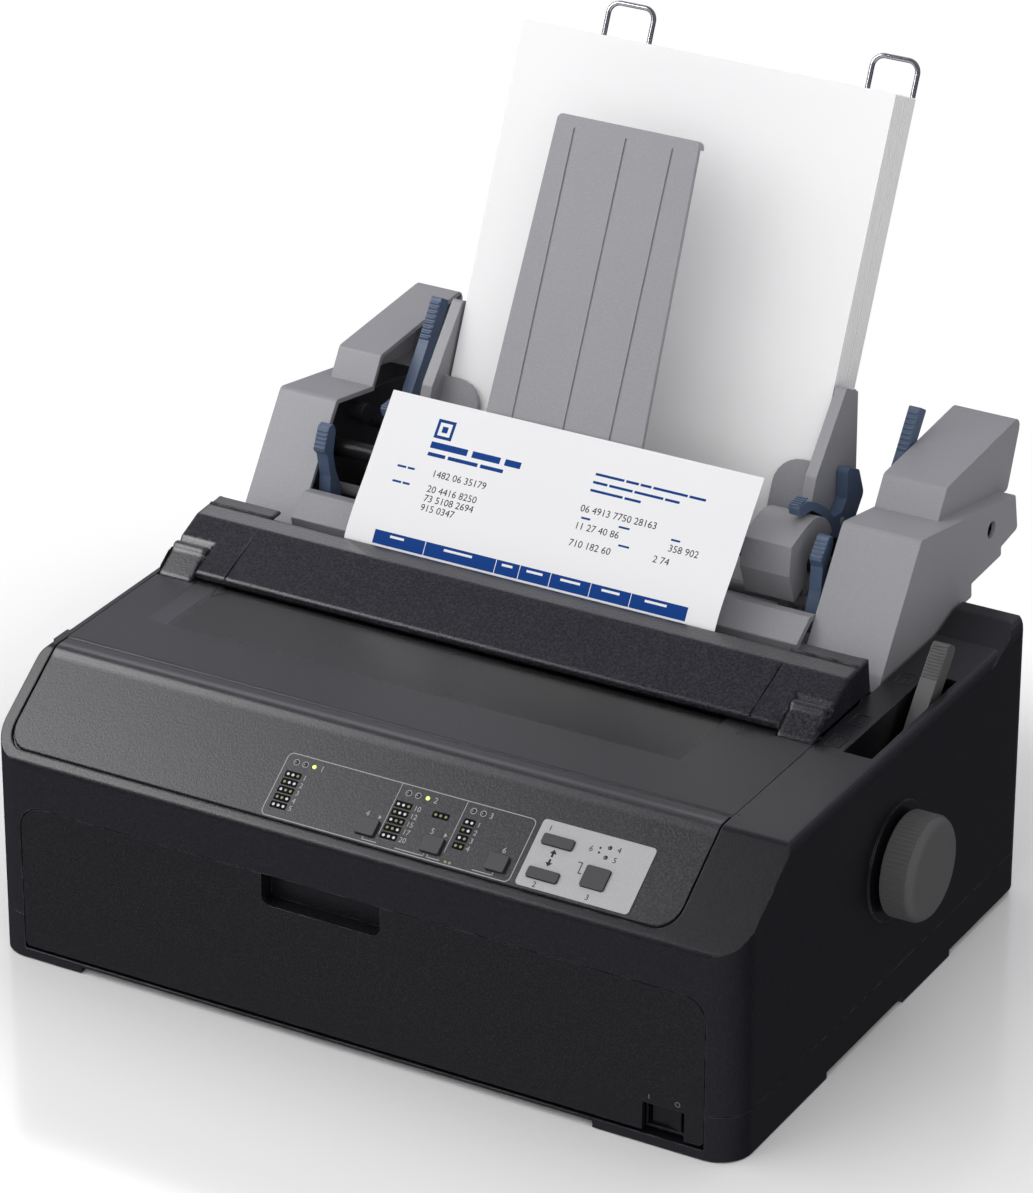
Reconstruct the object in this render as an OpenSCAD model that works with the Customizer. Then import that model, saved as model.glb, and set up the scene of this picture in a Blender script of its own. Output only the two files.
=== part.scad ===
// Desktop impact printer with a cut sheet feeder, drawn as separate pieces.
// X runs to the right, Y to the rear and Z up. The origin is under the middle of the whole object.
// Inside each piece, X is measured from the middle of the case, Y from its front and Z from the table.

/* [Case] */
// Width of the case
body_w = 410; // [400:1:420]
// Depth of the case
body_d = 308; // [306:1:314]
// Height of the flat top
body_h = 146; // [145:0.5:148]
// Height of the crease between the front and the sloping panel
crease_z = 109; // [107:0.5:110]
// How far back the sloping panel reaches
slope_y = 52; // [50:0.5:54]
// Wall thickness of the mouldings
wall = 2.5; // [2:0.1:3]
// Height of the seam between the two halves of the case
seam_z = 24.8; // [22:0.2:28]
// Rounding of the upright corners
corner_r = 17; // [10:1:17]
// Rounding of the long top edges
edge_r = 5; // [3:0.5:6]

/* [Front door] */
// Left edge of the door
door_x0 = -187; // [-188:0.5:-180]
// Right edge of the door
door_x1 = 188; // [182:0.5:188]
// Lower edge of the door
door_z0 = 7.5; // [7:0.1:9]
// Upper edge of the door
door_z1 = 85.2; // [80:0.2:86]

/* [Cover] */
// Left edge of the cover
cover_x0 = -198.9; // [-199:0.1:-196]
// Right edge of the cover
cover_x1 = 167.9; // [160:0.1:168]
// Front edge of the cover
cover_y = 62.4; // [60:0.2:64]
// Thickness of the window
window_t = 2.4; // [2:0.1:3]

/* [Paper path] */
// Distance of the platen's axis from the front
platen_y = 160; // [158:0.5:162]
// Height of the platen's axis
platen_z = 86; // [84:0.5:88]
// Radius of the platen roller
platen_r = 17; // [14:0.5:18]
// Radius of the paper feed knob
knob_r = 26.5; // [22:0.5:28]
// Where the knob's face ends, to the right of the case's middle
knob_x = 226; // [220:1:230]

/* [Paper] */
// Width of the loaded sheets
sheet_w = 210; // [182:1:216]
// Length of the loaded sheets
sheet_l = 297; // [257:1:300]
// Thickness of the stack
stack_t = 25; // [5:1:25]
// Middle of the paper path, to the right of the case's middle
paper_x = -15.5; // [-18:0.5:-12]
// Lean of the stack from upright
lean = 23.86; // [20:0.1:26]

/* [Feeder] */
// Outer face of the left side housing
left_out = -197; // [-198:0.5:-194]
// Inner face of the left side housing
left_in = -163.5; // [-165:0.5:-160]
// Outer face of the right side housing
right_out = 166.6; // [160:0.2:167]
// Inner face of the right side housing
right_in = 124; // [122:0.5:128]
// Radius of the wire supports
wire_r = 1.3; // [1:0.1:2]

/* [Controls] */
// Travel of the panel buttons
button_travel = 1.2; // [1:0.1:1.3]
// How far the buttons stand above the panel
button_h = 1.6; // [1.4:0.1:2.5]

/* [Hidden] */
$fn = 48;

// Running clearances: a shaft in a bore, a seam, and a piece that moves past another
fit = 0.05;
seam = 0.4;
gap = 0.3;
// Half of the case and the angle of the sloping panel
half_w = body_w / 2;
slope_a = atan2(body_h - crease_z, slope_y);
slope_l = norm([body_h - crease_z, slope_y]);
// Lower front edge of the stack of paper
stack_foot = [254.7, 108.3];
// Wire supports: plane behind the stack's front face, and length up the stack
wire_n = stack_t + 2.4;
wire_top = sheet_l + 17.7;
wire_foot = 150;
// The whole object's box gives the place of the origin
rear_most = stack_foot[0] + wire_top * sin(lean) + wire_n * cos(lean) + wire_r;
mid_x = (knob_x - half_w) / 2;
mid_y = rear_most / 2;
// Feet: height of the case's floor, and of the bumps under it
floor_z = 4;
bump_z = 0.6;
pad_r = 9;
pads = [[-178, 50], [172, 50], [-178, 200], [178, 200]];
rim_z = 151.5;
screw_at = [[-198.2, 110], [198.2, 110], [-198.2, 280], [198.2, 280]];
// Hinges of the door and of the cover
door_pin = [3.2, 10.5];
door_pin_r = 1.25;
cover_pin = [64, 144.5];
cover_pin_r = 1.2;
cover_rear = 202;
// Hand hold in the door and the switch opening beside it
hold_x = [-50, 15.5];
hold_z = 69;
switch_x = [156, 178];
switch_z = [7.5, 22.5];
rocker_at = [167, 10];
rocker_a = 6;
// Panel insert, printed plate and buttons: [x, distance up the slope]
panel_x = [-198.6, 167.6];
panel_y0 = 5.5;
panel_t = 1.5;
groove = 1.1;
plate_x = [84, 143.5];
plate_s = [8.6, 44];
button_at = [[1.5, 16], [36.8, 16], [71.6, 16], [95.8, 34], [95.8, 16.2], [121, 21.6]];
button_size = [[10, 8.6], [10, 8.6], [10, 8.6], [16.2, 5.4], [16.2, 5.4], [12.4, 11]];
light_at = [[-48.2, 38.1], [-43.3, 38.1], [-38.4, 38.1], [13.5, 38.1], [18.6, 38.1], [23.8, 38.1],
    [48.6, 38.1], [53.8, 38.1], [121.1, 38.2], [121.1, 33]];
light_r = 1.1;
// Levers
release_pin = [178, 94];
release_x = [186.6, 195.4];
release_a = 39.3;
slot_x = [183.5, 198.5];
slot_y = [144, 236];
thick_pin = [118, 72];
roller_x = [-150, 126];
thick_x = [141, 146];
// Chassis
frame_x = [-172, 150];
frame_t = 2;
inner_x = [frame_x[0] + frame_t, frame_x[1]];
rod_at = [100, 62];
rod_r = 5;
shaft_r = 4;
gear_teeth = 48;
pinion_teeth = 16;
gear_module = 1.25;
gear_x = [-184, -176];
pinion_at = [192, 62];
gear_a = atan2(pinion_at[1] - platen_z, pinion_at[0] - platen_y);
belt_z = [72, 78];
belt_t = 1.2;
pulley_r = 6;
pulley_x = [-150, 132];
pulley_y = 82;
carriage_x = [-148, -108];
// Feeder pieces
pickup_at = [260, 177];
pickup_r = 20;
hood_in = 21;
hood_out = 23;
rail_at = [264, 152];
rail_r = 3;
plate_left = -170;
plate_right = 148;
left_fin = [-127.5, -121.5];
right_fin = [91, 97];
left_hood = [-127.5, -98];
right_hood = [80, 107];
lock_pin = [300, 182];
hook_pin = [244, 154];
set_pin = [303, 172];
lever_pin_r = 2;

// ---------------------------------------------------------------- helpers

function unit(v) = v / norm(v);

// Points of a fillet of radius r at corner b, between its neighbours a and c
function fillet(a, b, c, r, n) =
    r <= 0 ? [b] :
    let (u = unit(a - b), w = unit(c - b),
         half = acos(max(-1, min(1, u * w))) / 2,
         m = b + unit(u + w) * r / sin(half),
         p = b + u * r / tan(half) - m,
         q = b + w * r / tan(half) - m,
         a0 = atan2(p[1], p[0]),
         d = atan2(q[1], q[0]) - a0,
         turn = d > 180 ? d - 360 : d < -180 ? d + 360 : d)
    [for (i = [0:n]) m + r * [cos(a0 + turn * i / n), sin(a0 + turn * i / n)]];

// Outline with each corner rounded by its own radius
function rounded(pts, rs, n = 5) =
    let (k = len(pts))
    [for (i = [0:k - 1]) each fillet(pts[(i + k - 1) % k], pts[i], pts[(i + 1) % k], rs[i], n)];

// Outline with every corner rounded alike
function eased(pts, r, n = 4) = rounded(pts, [for (p = pts) r], n);

function box_points(x0, x1, y0, y1) = [[x0, y0], [x1, y0], [x1, y1], [x0, y1]];

function arc(c, r, a0, a1, n = 12) =
    [for (i = [0:n]) c + r * [cos(a0 + (a1 - a0) * i / n), sin(a0 + (a1 - a0) * i / n)]];

module place() { translate([-mid_x, -mid_y, 0]) children(); }

module slab(x, y, z) {
    translate([x[0], y[0], z[0]]) cube([x[1] - x[0], y[1] - y[0], z[1] - z[0]]);
}

// Extrudes an outline of the Y-Z plane along X
module across(x) {
    translate([x[0], 0, 0]) rotate([90, 0, 90]) linear_extrude(x[1] - x[0]) children();
}

// Extrudes an outline of the X-Z plane along Y
module deep(y) {
    translate([0, y[1], 0]) rotate([90, 0, 0]) linear_extrude(y[1] - y[0]) children();
}

module rod(x, at, r) {
    translate([x[0], at[0], at[1]]) rotate([0, 90, 0]) cylinder(h = x[1] - x[0], r = r);
}

module post(at, z, r) {
    translate([at[0], at[1], z[0]]) cylinder(h = z[1] - z[0], r = r);
}

// Frame of the sloping panel: X across, Y up the slope, Z out of it
module on_slope() { translate([0, 0, crease_z]) rotate([slope_a, 0, 0]) children(); }

// Frame of the stack: Y through the paper to the rear, Z up along it
module on_stack() {
    translate([0, stack_foot[0], stack_foot[1]]) rotate([-lean, 0, 0]) children();
}

function gear_outline(teeth, phase) =
    let (p = teeth * gear_module / 2, step = 360 / teeth)
    [for (i = [0:teeth - 1]) for (k = [[-0.27, -1.5], [-0.12, 1.05], [0.12, 1.05], [0.27, -1.5]])
        (p + k[1]) * [cos(phase + step * (i + k[0])), sin(phase + step * (i + k[0]))]];

// ---------------------------------------------------------------- case

// Point where the sloping panel, moved in by t, meets a height z
function slope_at(z, t) = (z - crease_z + t / cos(slope_a)) / tan(slope_a);

// The rounded block that the case's outer and inner faces follow
module case_block(t, z) {
    x = half_w - t;
    side = [[t, -20], [t, crease_z + t * tan(slope_a) - t / cos(slope_a)],
        [slope_at(body_h - t, t), body_h - t], [body_d - t, body_h - t], [body_d - t, -20]];
    plan = box_points(-x, x, t, body_d - t);
    face = [[-x, -20], [x, -20], [x, body_h - t], [-x, body_h - t]];
    intersection() {
        across([-x, x]) polygon(rounded(side, [0, 5, 7, 8, 0]));
        translate([0, 0, z[0]]) linear_extrude(z[1] - z[0])
            polygon(rounded(plan, [for (r = [corner_r, corner_r, 14, 14]) r - t], 8));
        deep([-1, body_d + 1]) polygon(rounded(face, [0, 0, edge_r, edge_r]));
    }
}

module door_outline(g) {
    polygon(rounded([[door_x0 - g, door_z0 - g], [door_x1 + g, door_z0 - g],
        [door_x1 + g, door_z1 + g], [door_x0 - g, door_z1 + g]], [3, 3, 12, 12], 6));
}

module foot_bumps(t) {
    for (b = [[[-half_w, -155], [8, 93]], [[130, half_w], [8, 93]],
              [[-half_w, -150], [174, 226]], [[150, half_w], [174, 226]]])
        slab([b[0][0] + t, b[0][1] - t], [b[1][0] + t, b[1][1] - t], [bump_z + t, floor_z + wall]);
}

module lower_case() place() color("#1d1c20") difference() {
    union() {
        difference() {
            case_block(0, [floor_z, seam_z - seam / 2]);
            case_block(wall, [floor_z + wall, seam_z + 1]);
            deep([-1, 7.8]) door_outline(seam);
            slab([door_x0 - seam, door_x1 + seam], [-1, 8], [5.6, door_z0 + 4]);
        }
        intersection() {
            foot_bumps(0);
            case_block(0, [0, 20]);
        }
        // front strips of the feet, flush with the door
        for (x = [[-half_w, -155], [130, half_w]]) intersection() {
            slab(x, [0, 9], [bump_z, 5.6]);
            case_block(0, [0, 20]);
        }
        // wall behind the door, and the lip inside the seam
        slab([door_x0, door_x1], [8, 8 + wall], [floor_z, seam_z - seam / 2]);
        difference() {
            case_block(wall, [seam_z - 4, seam_z + 5]);
            case_block(wall + 1.5, [0, seam_z + 6]);
            slab([door_x0 - 1, door_x1 + 1], [-1, 12], [0, 60]);
        }
        for (p = screw_at) post(p, [floor_z, seam_z], 5);
        // hinge blocks for the door
        for (x = [[door_x0 - 6.5, door_x0 - seam], [door_x1 + seam, door_x1 + 6.5]]) intersection() {
            slab(x, [0, 11], [bump_z, 17]);
            case_block(0, [0, 20]);
        }
    }
    for (x = [[door_x0 - 5, door_x0], [door_x1, door_x1 + 5]]) rod(x, door_pin, door_pin_r + fit);
    for (p = pads) post(p, [-1, 3], pad_r);
    for (p = screw_at) {
        post(p, [floor_z - 1, floor_z + 2.4], 3.6);
        post(p, [floor_z, seam_z + 1], 1.75);
    }
    // room for the power switch
    slab([switch_x[0] - 0.2, switch_x[1] + 0.2], [-1, 14], [switch_z[0] - 0.6, switch_z[1] + 0.2]);
}

module rear_grille() {
    for (i = [0:11]) slab([20 + i * 7, 23.5 + i * 7], [body_d - 6, body_d + 1], [84, 108]);
    for (i = [0:11]) slab([-130 + i * 7, -126.5 + i * 7], [body_d - 6, body_d + 1], [84, 108]);
}

module upper_case() place() color("#29292c") difference() {
    union() {
        difference() {
            case_block(0, [seam_z + seam / 2, body_h]);
            case_block(wall, [0, body_h - wall]);
        }
        // shelf under the panel insert
        intersection() {
            case_block(0.5, [60, body_h]);
            on_slope() slab([-half_w, half_w], [0, slope_l + 14], [-4, -panel_t]);
        }
        // bosses for the screws, and sockets for the cover's pins
        for (p = screw_at) post(p, [seam_z + 5.3, 70], 5);
        for (x = [[-half_w + 1, cover_x0 - gap], [cover_x1 + gap, cover_x1 + 8]])
            slab(x, [58, 70], [138, body_h - 0.5]);
        // raised and rounded rear corners of the top
        intersection() {
            across([-half_w, half_w]) polygon(rounded([[258, 141], [296, rim_z], [306, rim_z],
                [body_d, 148.5], [body_d, 141]], [0, 12, 3, 2, 0]));
            deep([200, body_d + 1]) polygon(rounded([[-half_w, 20], [half_w, 20], [half_w, rim_z],
                [-half_w, rim_z]], [0, 0, 8, 8]));
            translate([0, 0, 120]) linear_extrude(50)
                polygon(rounded(box_points(-half_w, half_w, 100, body_d), [0, 0, 14, 14], 8));
        }
        // collar round the feed knob's shaft
        rod([half_w - wall - 3, half_w + 1.2], [platen_y, platen_z], 30);
        // trough that the release lever stands in
        slab([slot_x[0] - 2, slot_x[0]], [slot_y[0], slot_y[1]], [112, body_h - 1]);
        slab([slot_x[1], slot_x[1] + 2], [slot_y[0], slot_y[1]], [112, body_h - 1]);
    }
    // door, panel insert, cover and feeder
    deep([-1, 8]) door_outline(seam);
    intersection() {
        panel_prism(groove / 2, cover_y);
        above_panel(panel_t);
    }
    slab([cover_x0 - seam, cover_x1 + seam], [cover_y - 0.8, 299], [body_h - 9, body_h + 9]);
    slab([cover_x0 - seam, cover_x1 + seam], [70, 299], [110, body_h + 9]);
    slab([cover_x0 - seam, cover_x1 + seam], [298, body_d + 10], [body_h, body_h + 9]);
    slab([-152, 118], [290, body_d + 10], [112, body_h + 9]);
    for (x = [[cover_x0 - 3, cover_x0], [cover_x1, cover_x1 + 3]])
        rod(x, cover_pin, cover_pin_r + fit);
    slab(slot_x, slot_y, [100, body_h + 5]);
    rod([half_w - 12, half_w + 5], [platen_y, platen_z], shaft_r + 1.5);
    on_slope() for (i = [0:5]) button_hole(i, 8, 0.2);
    on_slope() for (p = light_at) post(p, [-8, 8], light_r);
    // rear: ports, inlet, air
    slab([-112, -18], [body_d - 6, body_d + 1], [30, 62]);
    slab([118, 150], [body_d - 6, body_d + 1], [32, 60]);
    rear_grille();
    for (p = screw_at) post(p, [seam_z, seam_z + 6], 1.75);
}

module rubber_feet() place() color("#303032") for (p = pads) difference() {
    post(p, [0, 2.98], pad_r - 0.1);
    post(p, [-1, 0.8], 3);
}

module case_screws() place() color("silver") for (p = screw_at) difference() {
    union() {
        post(p, [floor_z + 0.3, floor_z + 2.4], 3.4);
        post(p, [floor_z + 2, seam_z + 5.8], 1.7);
    }
    for (a = [0, 90]) translate([p[0], p[1], floor_z]) rotate([0, 0, a])
        slab([-2.4, 2.4], [-0.4, 0.4], [0, 1.2]);
}

// ---------------------------------------------------------------- panel

// The panel insert's outline seen from above, widened by g, up to y1
module panel_prism(g, y1) {
    translate([0, 0, 50]) linear_extrude(120)
        polygon(rounded(box_points(panel_x[0] - g, panel_x[1] + g, panel_y0 - g, y1),
            [11, 11, 0, 0], 6));
}

// Everything above a surface that lies t under the slope and the flat top
module above_panel(t) {
    across([-half_w, half_w]) polygon([[-1, crease_z - tan(slope_a) - t / cos(slope_a)],
        [slope_at(body_h - t, t), body_h - t], [cover_y + 1, body_h - t], [cover_y + 1, 170],
        [-1, 170]]);
}

module button_outline(i, g) {
    s = button_size[i] / 2 + [g, g];
    polygon(eased([[-s[0], -s[1]], [s[0], -s[1]], s, [-s[0], s[1]]], 1 + g));
}

module button_hole(i, depth, g) {
    translate([button_at[i][0], button_at[i][1], -depth]) linear_extrude(depth + 8)
        button_outline(i, g);
}

module control_panel() place() color("#333335") difference() {
    intersection() {
        case_block(0, [60, body_h]);
        panel_prism(-groove / 2, cover_y - seam - 0.8);
        above_panel(panel_t - 0.02);
    }
    on_slope() for (i = [0:5]) button_hole(i, 8, 0.2);
    on_slope() for (p = light_at) post(p, [-8, 8], light_r);
}

module button_plate() place() color("#b0b0b2") on_slope() difference() {
    translate([0, 0, 0.01]) linear_extrude(0.4)
        polygon(eased(box_points(plate_x[0], plate_x[1], plate_s[0], plate_s[1]), 2));
    for (i = [3:5]) button_hole(i, 1, 0.2);
    for (i = [8, 9]) post(light_at[i], [-1, 2], light_r);
}

module panel_lights() place() color("#c8dc50") on_slope() for (p = light_at) {
    post(p, [-6.9, 0.5], light_r - 0.02);
}

module panel_button(i) on_slope() translate([button_at[i][0], button_at[i][1], 0]) {
    // cap, and the flange that holds it under the shelf
    foot = -4 - button_travel;
    translate([0, 0, foot]) linear_extrude(button_h - foot) button_outline(i, 0);
    translate([0, 0, foot]) linear_extrude(0.9) button_outline(i, 0.9);
}

module font_button() place() color("#4a4a4d") panel_button(0);
module pitch_button() place() color("#4a4a4d") panel_button(1);
module set_button() place() color("#4a4a4d") panel_button(2);
module load_button() place() color("#4a4a4d") panel_button(3);
module feed_button() place() color("#4a4a4d") panel_button(4);
module pause_button() place() color("#4a4a4d") panel_button(5);

// ---------------------------------------------------------------- door, cover and switch

module front_cover() place() color("#1f1f21") difference() {
    union() {
        deep([0.15, 3]) difference() {
            door_outline(0);
            polygon(rounded([[hold_x[0], hold_z], [hold_x[1], hold_z],
                [hold_x[1], door_z1 + 9], [hold_x[0], door_z1 + 9]], [5, 5, 0, 0]));
        }
        // hand hold behind the face
        difference() {
            slab([hold_x[0] - 2, hold_x[1] + 2], [2.5, 11], [hold_z - 2, 84]);
            slab([hold_x[0], hold_x[1]], [-1, 9.4], [hold_z, 90]);
        }
        // stiffening ribs on the back
        for (x = [-120, -70, 45, 100]) slab([x, x + 2], [2.5, 8], [26, 78]);
        for (x = [[door_x0 + 1.5, 150], [184, door_x1 - 1.5]])
            rod(x, door_pin, 2.6);
        for (x = [[door_x0 - 4.5, door_x0 + 4], [door_x1 - 4, door_x1 + 4.5]])
            rod(x, door_pin, door_pin_r);
    }
    slab(switch_x, [-1, 6], [door_z0 - 1, switch_z[1]]);
}

module cover_window() place() color([0.2, 0.2, 0.22, 0.75]) difference() {
    union() {
        slab([cover_x0, cover_x1], [cover_pin[0], 150], [body_h - window_t, body_h]);
        rod([cover_x0, cover_x1], [cover_pin[0], body_h - 1.5], 1.5);
        for (x = [[cover_x0 - 2.6, cover_x0 + 6], [cover_x1 - 6, cover_x1 + 2.6]])
            rod(x, cover_pin, cover_pin_r);
        // rear flange under the bar
        across([cover_x0 + 3, cover_x1 - 3]) polygon([[148, body_h - window_t],
            [150.5, body_h - window_t], [157, 149.2], [156.6, 150.9], [150, body_h], [148, body_h]]);
    }
    // windows for the grips
    for (x = [[cover_x0 - 1, cover_x0 + 20], [cover_x1 - 20, cover_x1 + 1]])
        slab(x, [142.6, 170], [130, 170]);
}

// Outer line of the bar's cross-section, from its front lip to its rear edge
function bar_line(t, rear) = [[146.6 + t, 146.4], [147 + t, 150.4 - t * 1.1],
    [180, 164.4 - t * 1.05], [rear, 165.2 - t]];

module bar_profile(rear) {
    polygon(concat(rounded(bar_line(0, rear), [0, 2, 3, 0]),
        [for (i = [3:-1:0]) bar_line(2.2, rear)[i]]));
}

module cover_bar() place() color("#39393c") {
    difference() {
        union() {
            across([cover_x0, cover_x1]) bar_profile(192);
            for (x = [[cover_x0, -162], [132, cover_x1]]) across(x) bar_profile(cover_rear);
            // end cheeks and inner ribs
            for (x = [[cover_x0, cover_x0 + 2.4], [cover_x1 - 2.4, cover_x1]])
                across(x) polygon([[147.2, body_h + 0.3], [147.2, 150.2], [180, 164.2],
                    [cover_rear, 164.8], [cover_rear + 3, body_h + 0.3]]);
            for (x = [-160, -100, -30, 40, 100, 129]) across([x, x + 2])
                polygon([[160, 152], [160, 154], [180, 163], [184, 160], [170, 152]]);
        }
        // scoops above the grips
        for (x = [[cover_x0 - 1, cover_x0 + 19.8], [cover_x1 - 19.8, cover_x1 + 1]])
            across(x) polygon(concat([[139, 143.2], [147, 148.5], [153.6, 152.9]],
                arc([158.6, 160.6], 7, 240, 358, 8), [[165.6, 170], [139, 170]]));
    }
    // grips at both ends: a sloping tab that ends in a round roll
    for (x = [[cover_x0 + 0.4, cover_x0 + 19.4], [cover_x1 - 19.4, cover_x1 - 0.4]]) {
        across(x) polygon([[143, body_h - 2], [143, body_h + 0.4], [157.4, 156], [160.6, 154],
            [158.5, 151.2], [146.5, body_h - 2]]);
        rod(x, [159.4, 154.8], 3);
    }
}

module switch_frame() place() color("#161618") difference() {
    slab([switch_x[0] + 0.3, switch_x[1] - 0.3], [3.6, 26], [switch_z[0] + 0.5, switch_z[1] - 0.3]);
    slab([rocker_at[0] - 9.6, rocker_at[0] + 9.6], [-1, 16], [switch_z[0] + 1.8, switch_z[1] - 1.6]);
    post(rocker_at, [switch_z[0] + 0.8, switch_z[1] - 0.6], 1.3 + fit);
}

module power_rocker() place() color("#2a2a2c") translate([rocker_at[0], rocker_at[1], 0])
    rotate([0, 0, -rocker_a]) union() {
        translate([0, 0, switch_z[0] + 2.1]) linear_extrude(11)
            polygon(rounded([[-8.3, -5.5], [0, -4.3], [8.3, -5.5], [7.6, 1], [2.5, 4], [-2.5, 4],
                [-7.6, 1]], [0.8, 8, 0.8, 1, 1, 1, 1]));
        post([0, 0], [switch_z[0] + 1, switch_z[1] - 0.8], 1.3);
    }

// ---------------------------------------------------------------- levers

module release_lever() place() color("#58585a")
    translate([0, release_pin[0], release_pin[1]]) rotate([-release_a, 0, 0]) difference() {
        union() {
            across(release_x) polygon(rounded([[-4.5, -4], [4.5, -4], [5.5, 60], [5.6, 92],
                [-3.4, 91], [-5, 64], [-5, 58]], [3, 3, 0, 3, 3, 2, 0]));
            rod(release_x, [0, 0], 7);
            // finger ribs
            for (i = [0:10]) rod([release_x[0] + 0.5, release_x[1] - 0.5],
                [-4.4 + i * 0.09, 72.5 + i * 1.65], 0.55);
        }
        rod([release_x[0] - 1, release_x[1] + 1], [0, 0], 3 + fit);
    }

module thickness_lever() place() color("#3c5a8c")
    translate([0, thick_pin[0], thick_pin[1]]) difference() {
        union() {
            across(thick_x) polygon(rounded([[-5, 0], [5, 0], [4, 40], [8, 60], [-2, 61], [-5, 38]],
                [1, 1, 2, 2, 2, 2]));
            rod(thick_x, [0, 0], 7);
        }
        rod([thick_x[0] - 1, thick_x[1] + 1], [0, 0], 3 + fit);
    }

// ---------------------------------------------------------------- chassis and drive

module base_frame() place() color("#a8acb0") difference() {
    union() {
        slab(inner_x, [30, 286], [floor_z + wall + 1.5, floor_z + wall + 3]);
        for (y = [[30, 31.5], [284.5, 286]]) slab(inner_x, y, [floor_z + wall + 1.5, 12.5]);
        for (p = [[-150, 40], [130, 40], [-150, 260], [50, 200]])
            post(p, [floor_z + wall, floor_z + wall + 2], 6);
        // post of the belt's idler and the carrier of the carriage motor
        post([pulley_x[1], pulley_y], [8, 81], 2.4);
        post([pulley_x[1], pulley_y], [8, 69], 8);
        slab([-168, -132], [62, 64], [8, 46]);
        // curved guide under the platen
        across(inner_x) polygon(concat(
            arc([platen_y, platen_z], platen_r + 3.4, 206, 310, 14),
            arc([platen_y, platen_z], platen_r + 2.2, 310, 206, 14)));
        for (x = [inner_x[0], inner_x[1] - 4])
            slab([x, x + 4], [platen_y - 4, platen_y + 4],
                [floor_z + wall + 2, platen_z - platen_r - 2.8]);
    }
    for (x = [-120:60:60]) for (y = [60:50:260]) post([x, y], [0, 20], 9);
}

function side_frame_line() = [[34, 8], [284, 8], [284, 30], [262, 60], [262, 128], [236, 128],
    [205, 112], [168, 118], [140, 126], [84, 118], [70, 100], [70, 60], [34, 30]];

module side_frames() place() color("#b4b8bb") {
    for (x = frame_x) difference() {
        across([x, x + frame_t]) polygon(eased(side_frame_line(), 3));
        rod([x - 1, x + 3], [platen_y, platen_z], shaft_r + fit);
        rod([x - 1, x + 3], rod_at, rod_r);
        rod([x - 1, x + 3], pinion_at, 7);
        rod([x - 1, x + 3], [225, 70], 14);
        rod([x - 1, x + 3], [120, 36], 14);
        rod([x - 1, x + 3], [60, 40], 9);
    }
    // stud for the paper release lever and for the thickness lever
    rod([frame_x[1] + frame_t, release_x[1] + 1], release_pin, 3);
    rod([thick_x[0] - 1, frame_x[1]], thick_pin, 3);
}

module platen_roller() place() color("#232325") difference() {
    rod(roller_x, [platen_y, platen_z], platen_r);
    rod([roller_x[0] - 1, roller_x[1] + 1], [platen_y, platen_z], shaft_r + 0.01);
}

module platen_shaft() place() color("silver") {
    rod([-187, knob_x - 4], [platen_y, platen_z], shaft_r);
    for (x = [roller_x[0] - 1.6, roller_x[1] + 0.1]) rod([x, x + 1.5], [platen_y, platen_z], 7);
}

module platen_gear() place() color("#e8e4d8") difference() {
    union() {
        translate([0, platen_y, platen_z]) across(gear_x) polygon(gear_outline(gear_teeth, gear_a));
        rod([gear_x[0] - 1.5, gear_x[1] + 2.5], [platen_y, platen_z], 9);
    }
    rod([gear_x[0] - 5, gear_x[1] + 5], [platen_y, platen_z], shaft_r + 0.01);
    for (a = [0:60:300]) rod([gear_x[0] - 1, gear_x[1] + 1],
        [platen_y + 19 * cos(a), platen_z + 19 * sin(a)], 5);
}

module feed_knob() place() color("#4a4a4c") difference() {
    union() {
        translate([0, platen_y, platen_z]) rotate([0, 90, 0]) rotate_extrude()
            polygon(rounded([[0, half_w + 4], [knob_r - 0.6, half_w + 4], [knob_r - 0.6, knob_x],
                [0, knob_x]], [0, 0.6, 4.2, 0], 6));
        // grip flutes round the rim
        for (a = [0:5:355]) rod([half_w + 5, knob_x - 3.6],
            [platen_y + (knob_r - 0.7) * cos(a), platen_z + (knob_r - 0.7) * sin(a)], 0.6);
        rod([half_w + 1.6, half_w + 7], [platen_y, platen_z], 14);
    }
    rod([half_w, knob_x - 4], [platen_y, platen_z], shaft_r + 0.01);
    difference() {
        rod([half_w + 3, half_w + 15], [platen_y, platen_z], knob_r - 4);
        rod([half_w + 2, half_w + 16], [platen_y, platen_z], 14);
    }
}

module feed_motor() place() color("#8c9093") difference() {
    union() {
        rod([frame_x[0] + frame_t + 0.1, -142], pinion_at, 19);
        rod([-142, -139], pinion_at, 8);
    }
    rod([-175, -160], pinion_at, 2.5 + fit);
}

module motor_pinion() place() color("#c9a24a") union() {
    translate([0, pinion_at[0], pinion_at[1]]) across([gear_x[0] + 0.5, gear_x[1] - 0.5])
        polygon(gear_outline(pinion_teeth, gear_a + 180 - 180 / pinion_teeth));
    rod([gear_x[0] - 1, -161], pinion_at, 2.5);
}

module carriage_rails() place() color("silver") {
    rod([frame_x[0] - 1, frame_x[1] + frame_t + 1], rod_at, rod_r - 0.01);
    slab([frame_x[0] + frame_t, frame_x[1]], [74, 91], [99.6, 101.2]);
    slab([frame_x[0] + frame_t, frame_x[1]], [74, 75.6], [92, 101.2]);
}

module carriage() place() color("#2c2c2e") difference() {
    union() {
        slab(carriage_x, [91, 112], [50, 98]);
        slab([carriage_x[0] + 4, carriage_x[1] - 4], [78, 112], [94, 99.2]);
        slab([carriage_x[0] + 12, carriage_x[1] - 12], [89.4, 92], [70, 80]);
        rod(carriage_x, rod_at, 9);
    }
    rod([carriage_x[0] - 1, carriage_x[1] + 1], rod_at, rod_r + fit);
    slab([carriage_x[0] + 8, carriage_x[1] - 8], [96, 120], [74, 110]);
}

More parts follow.
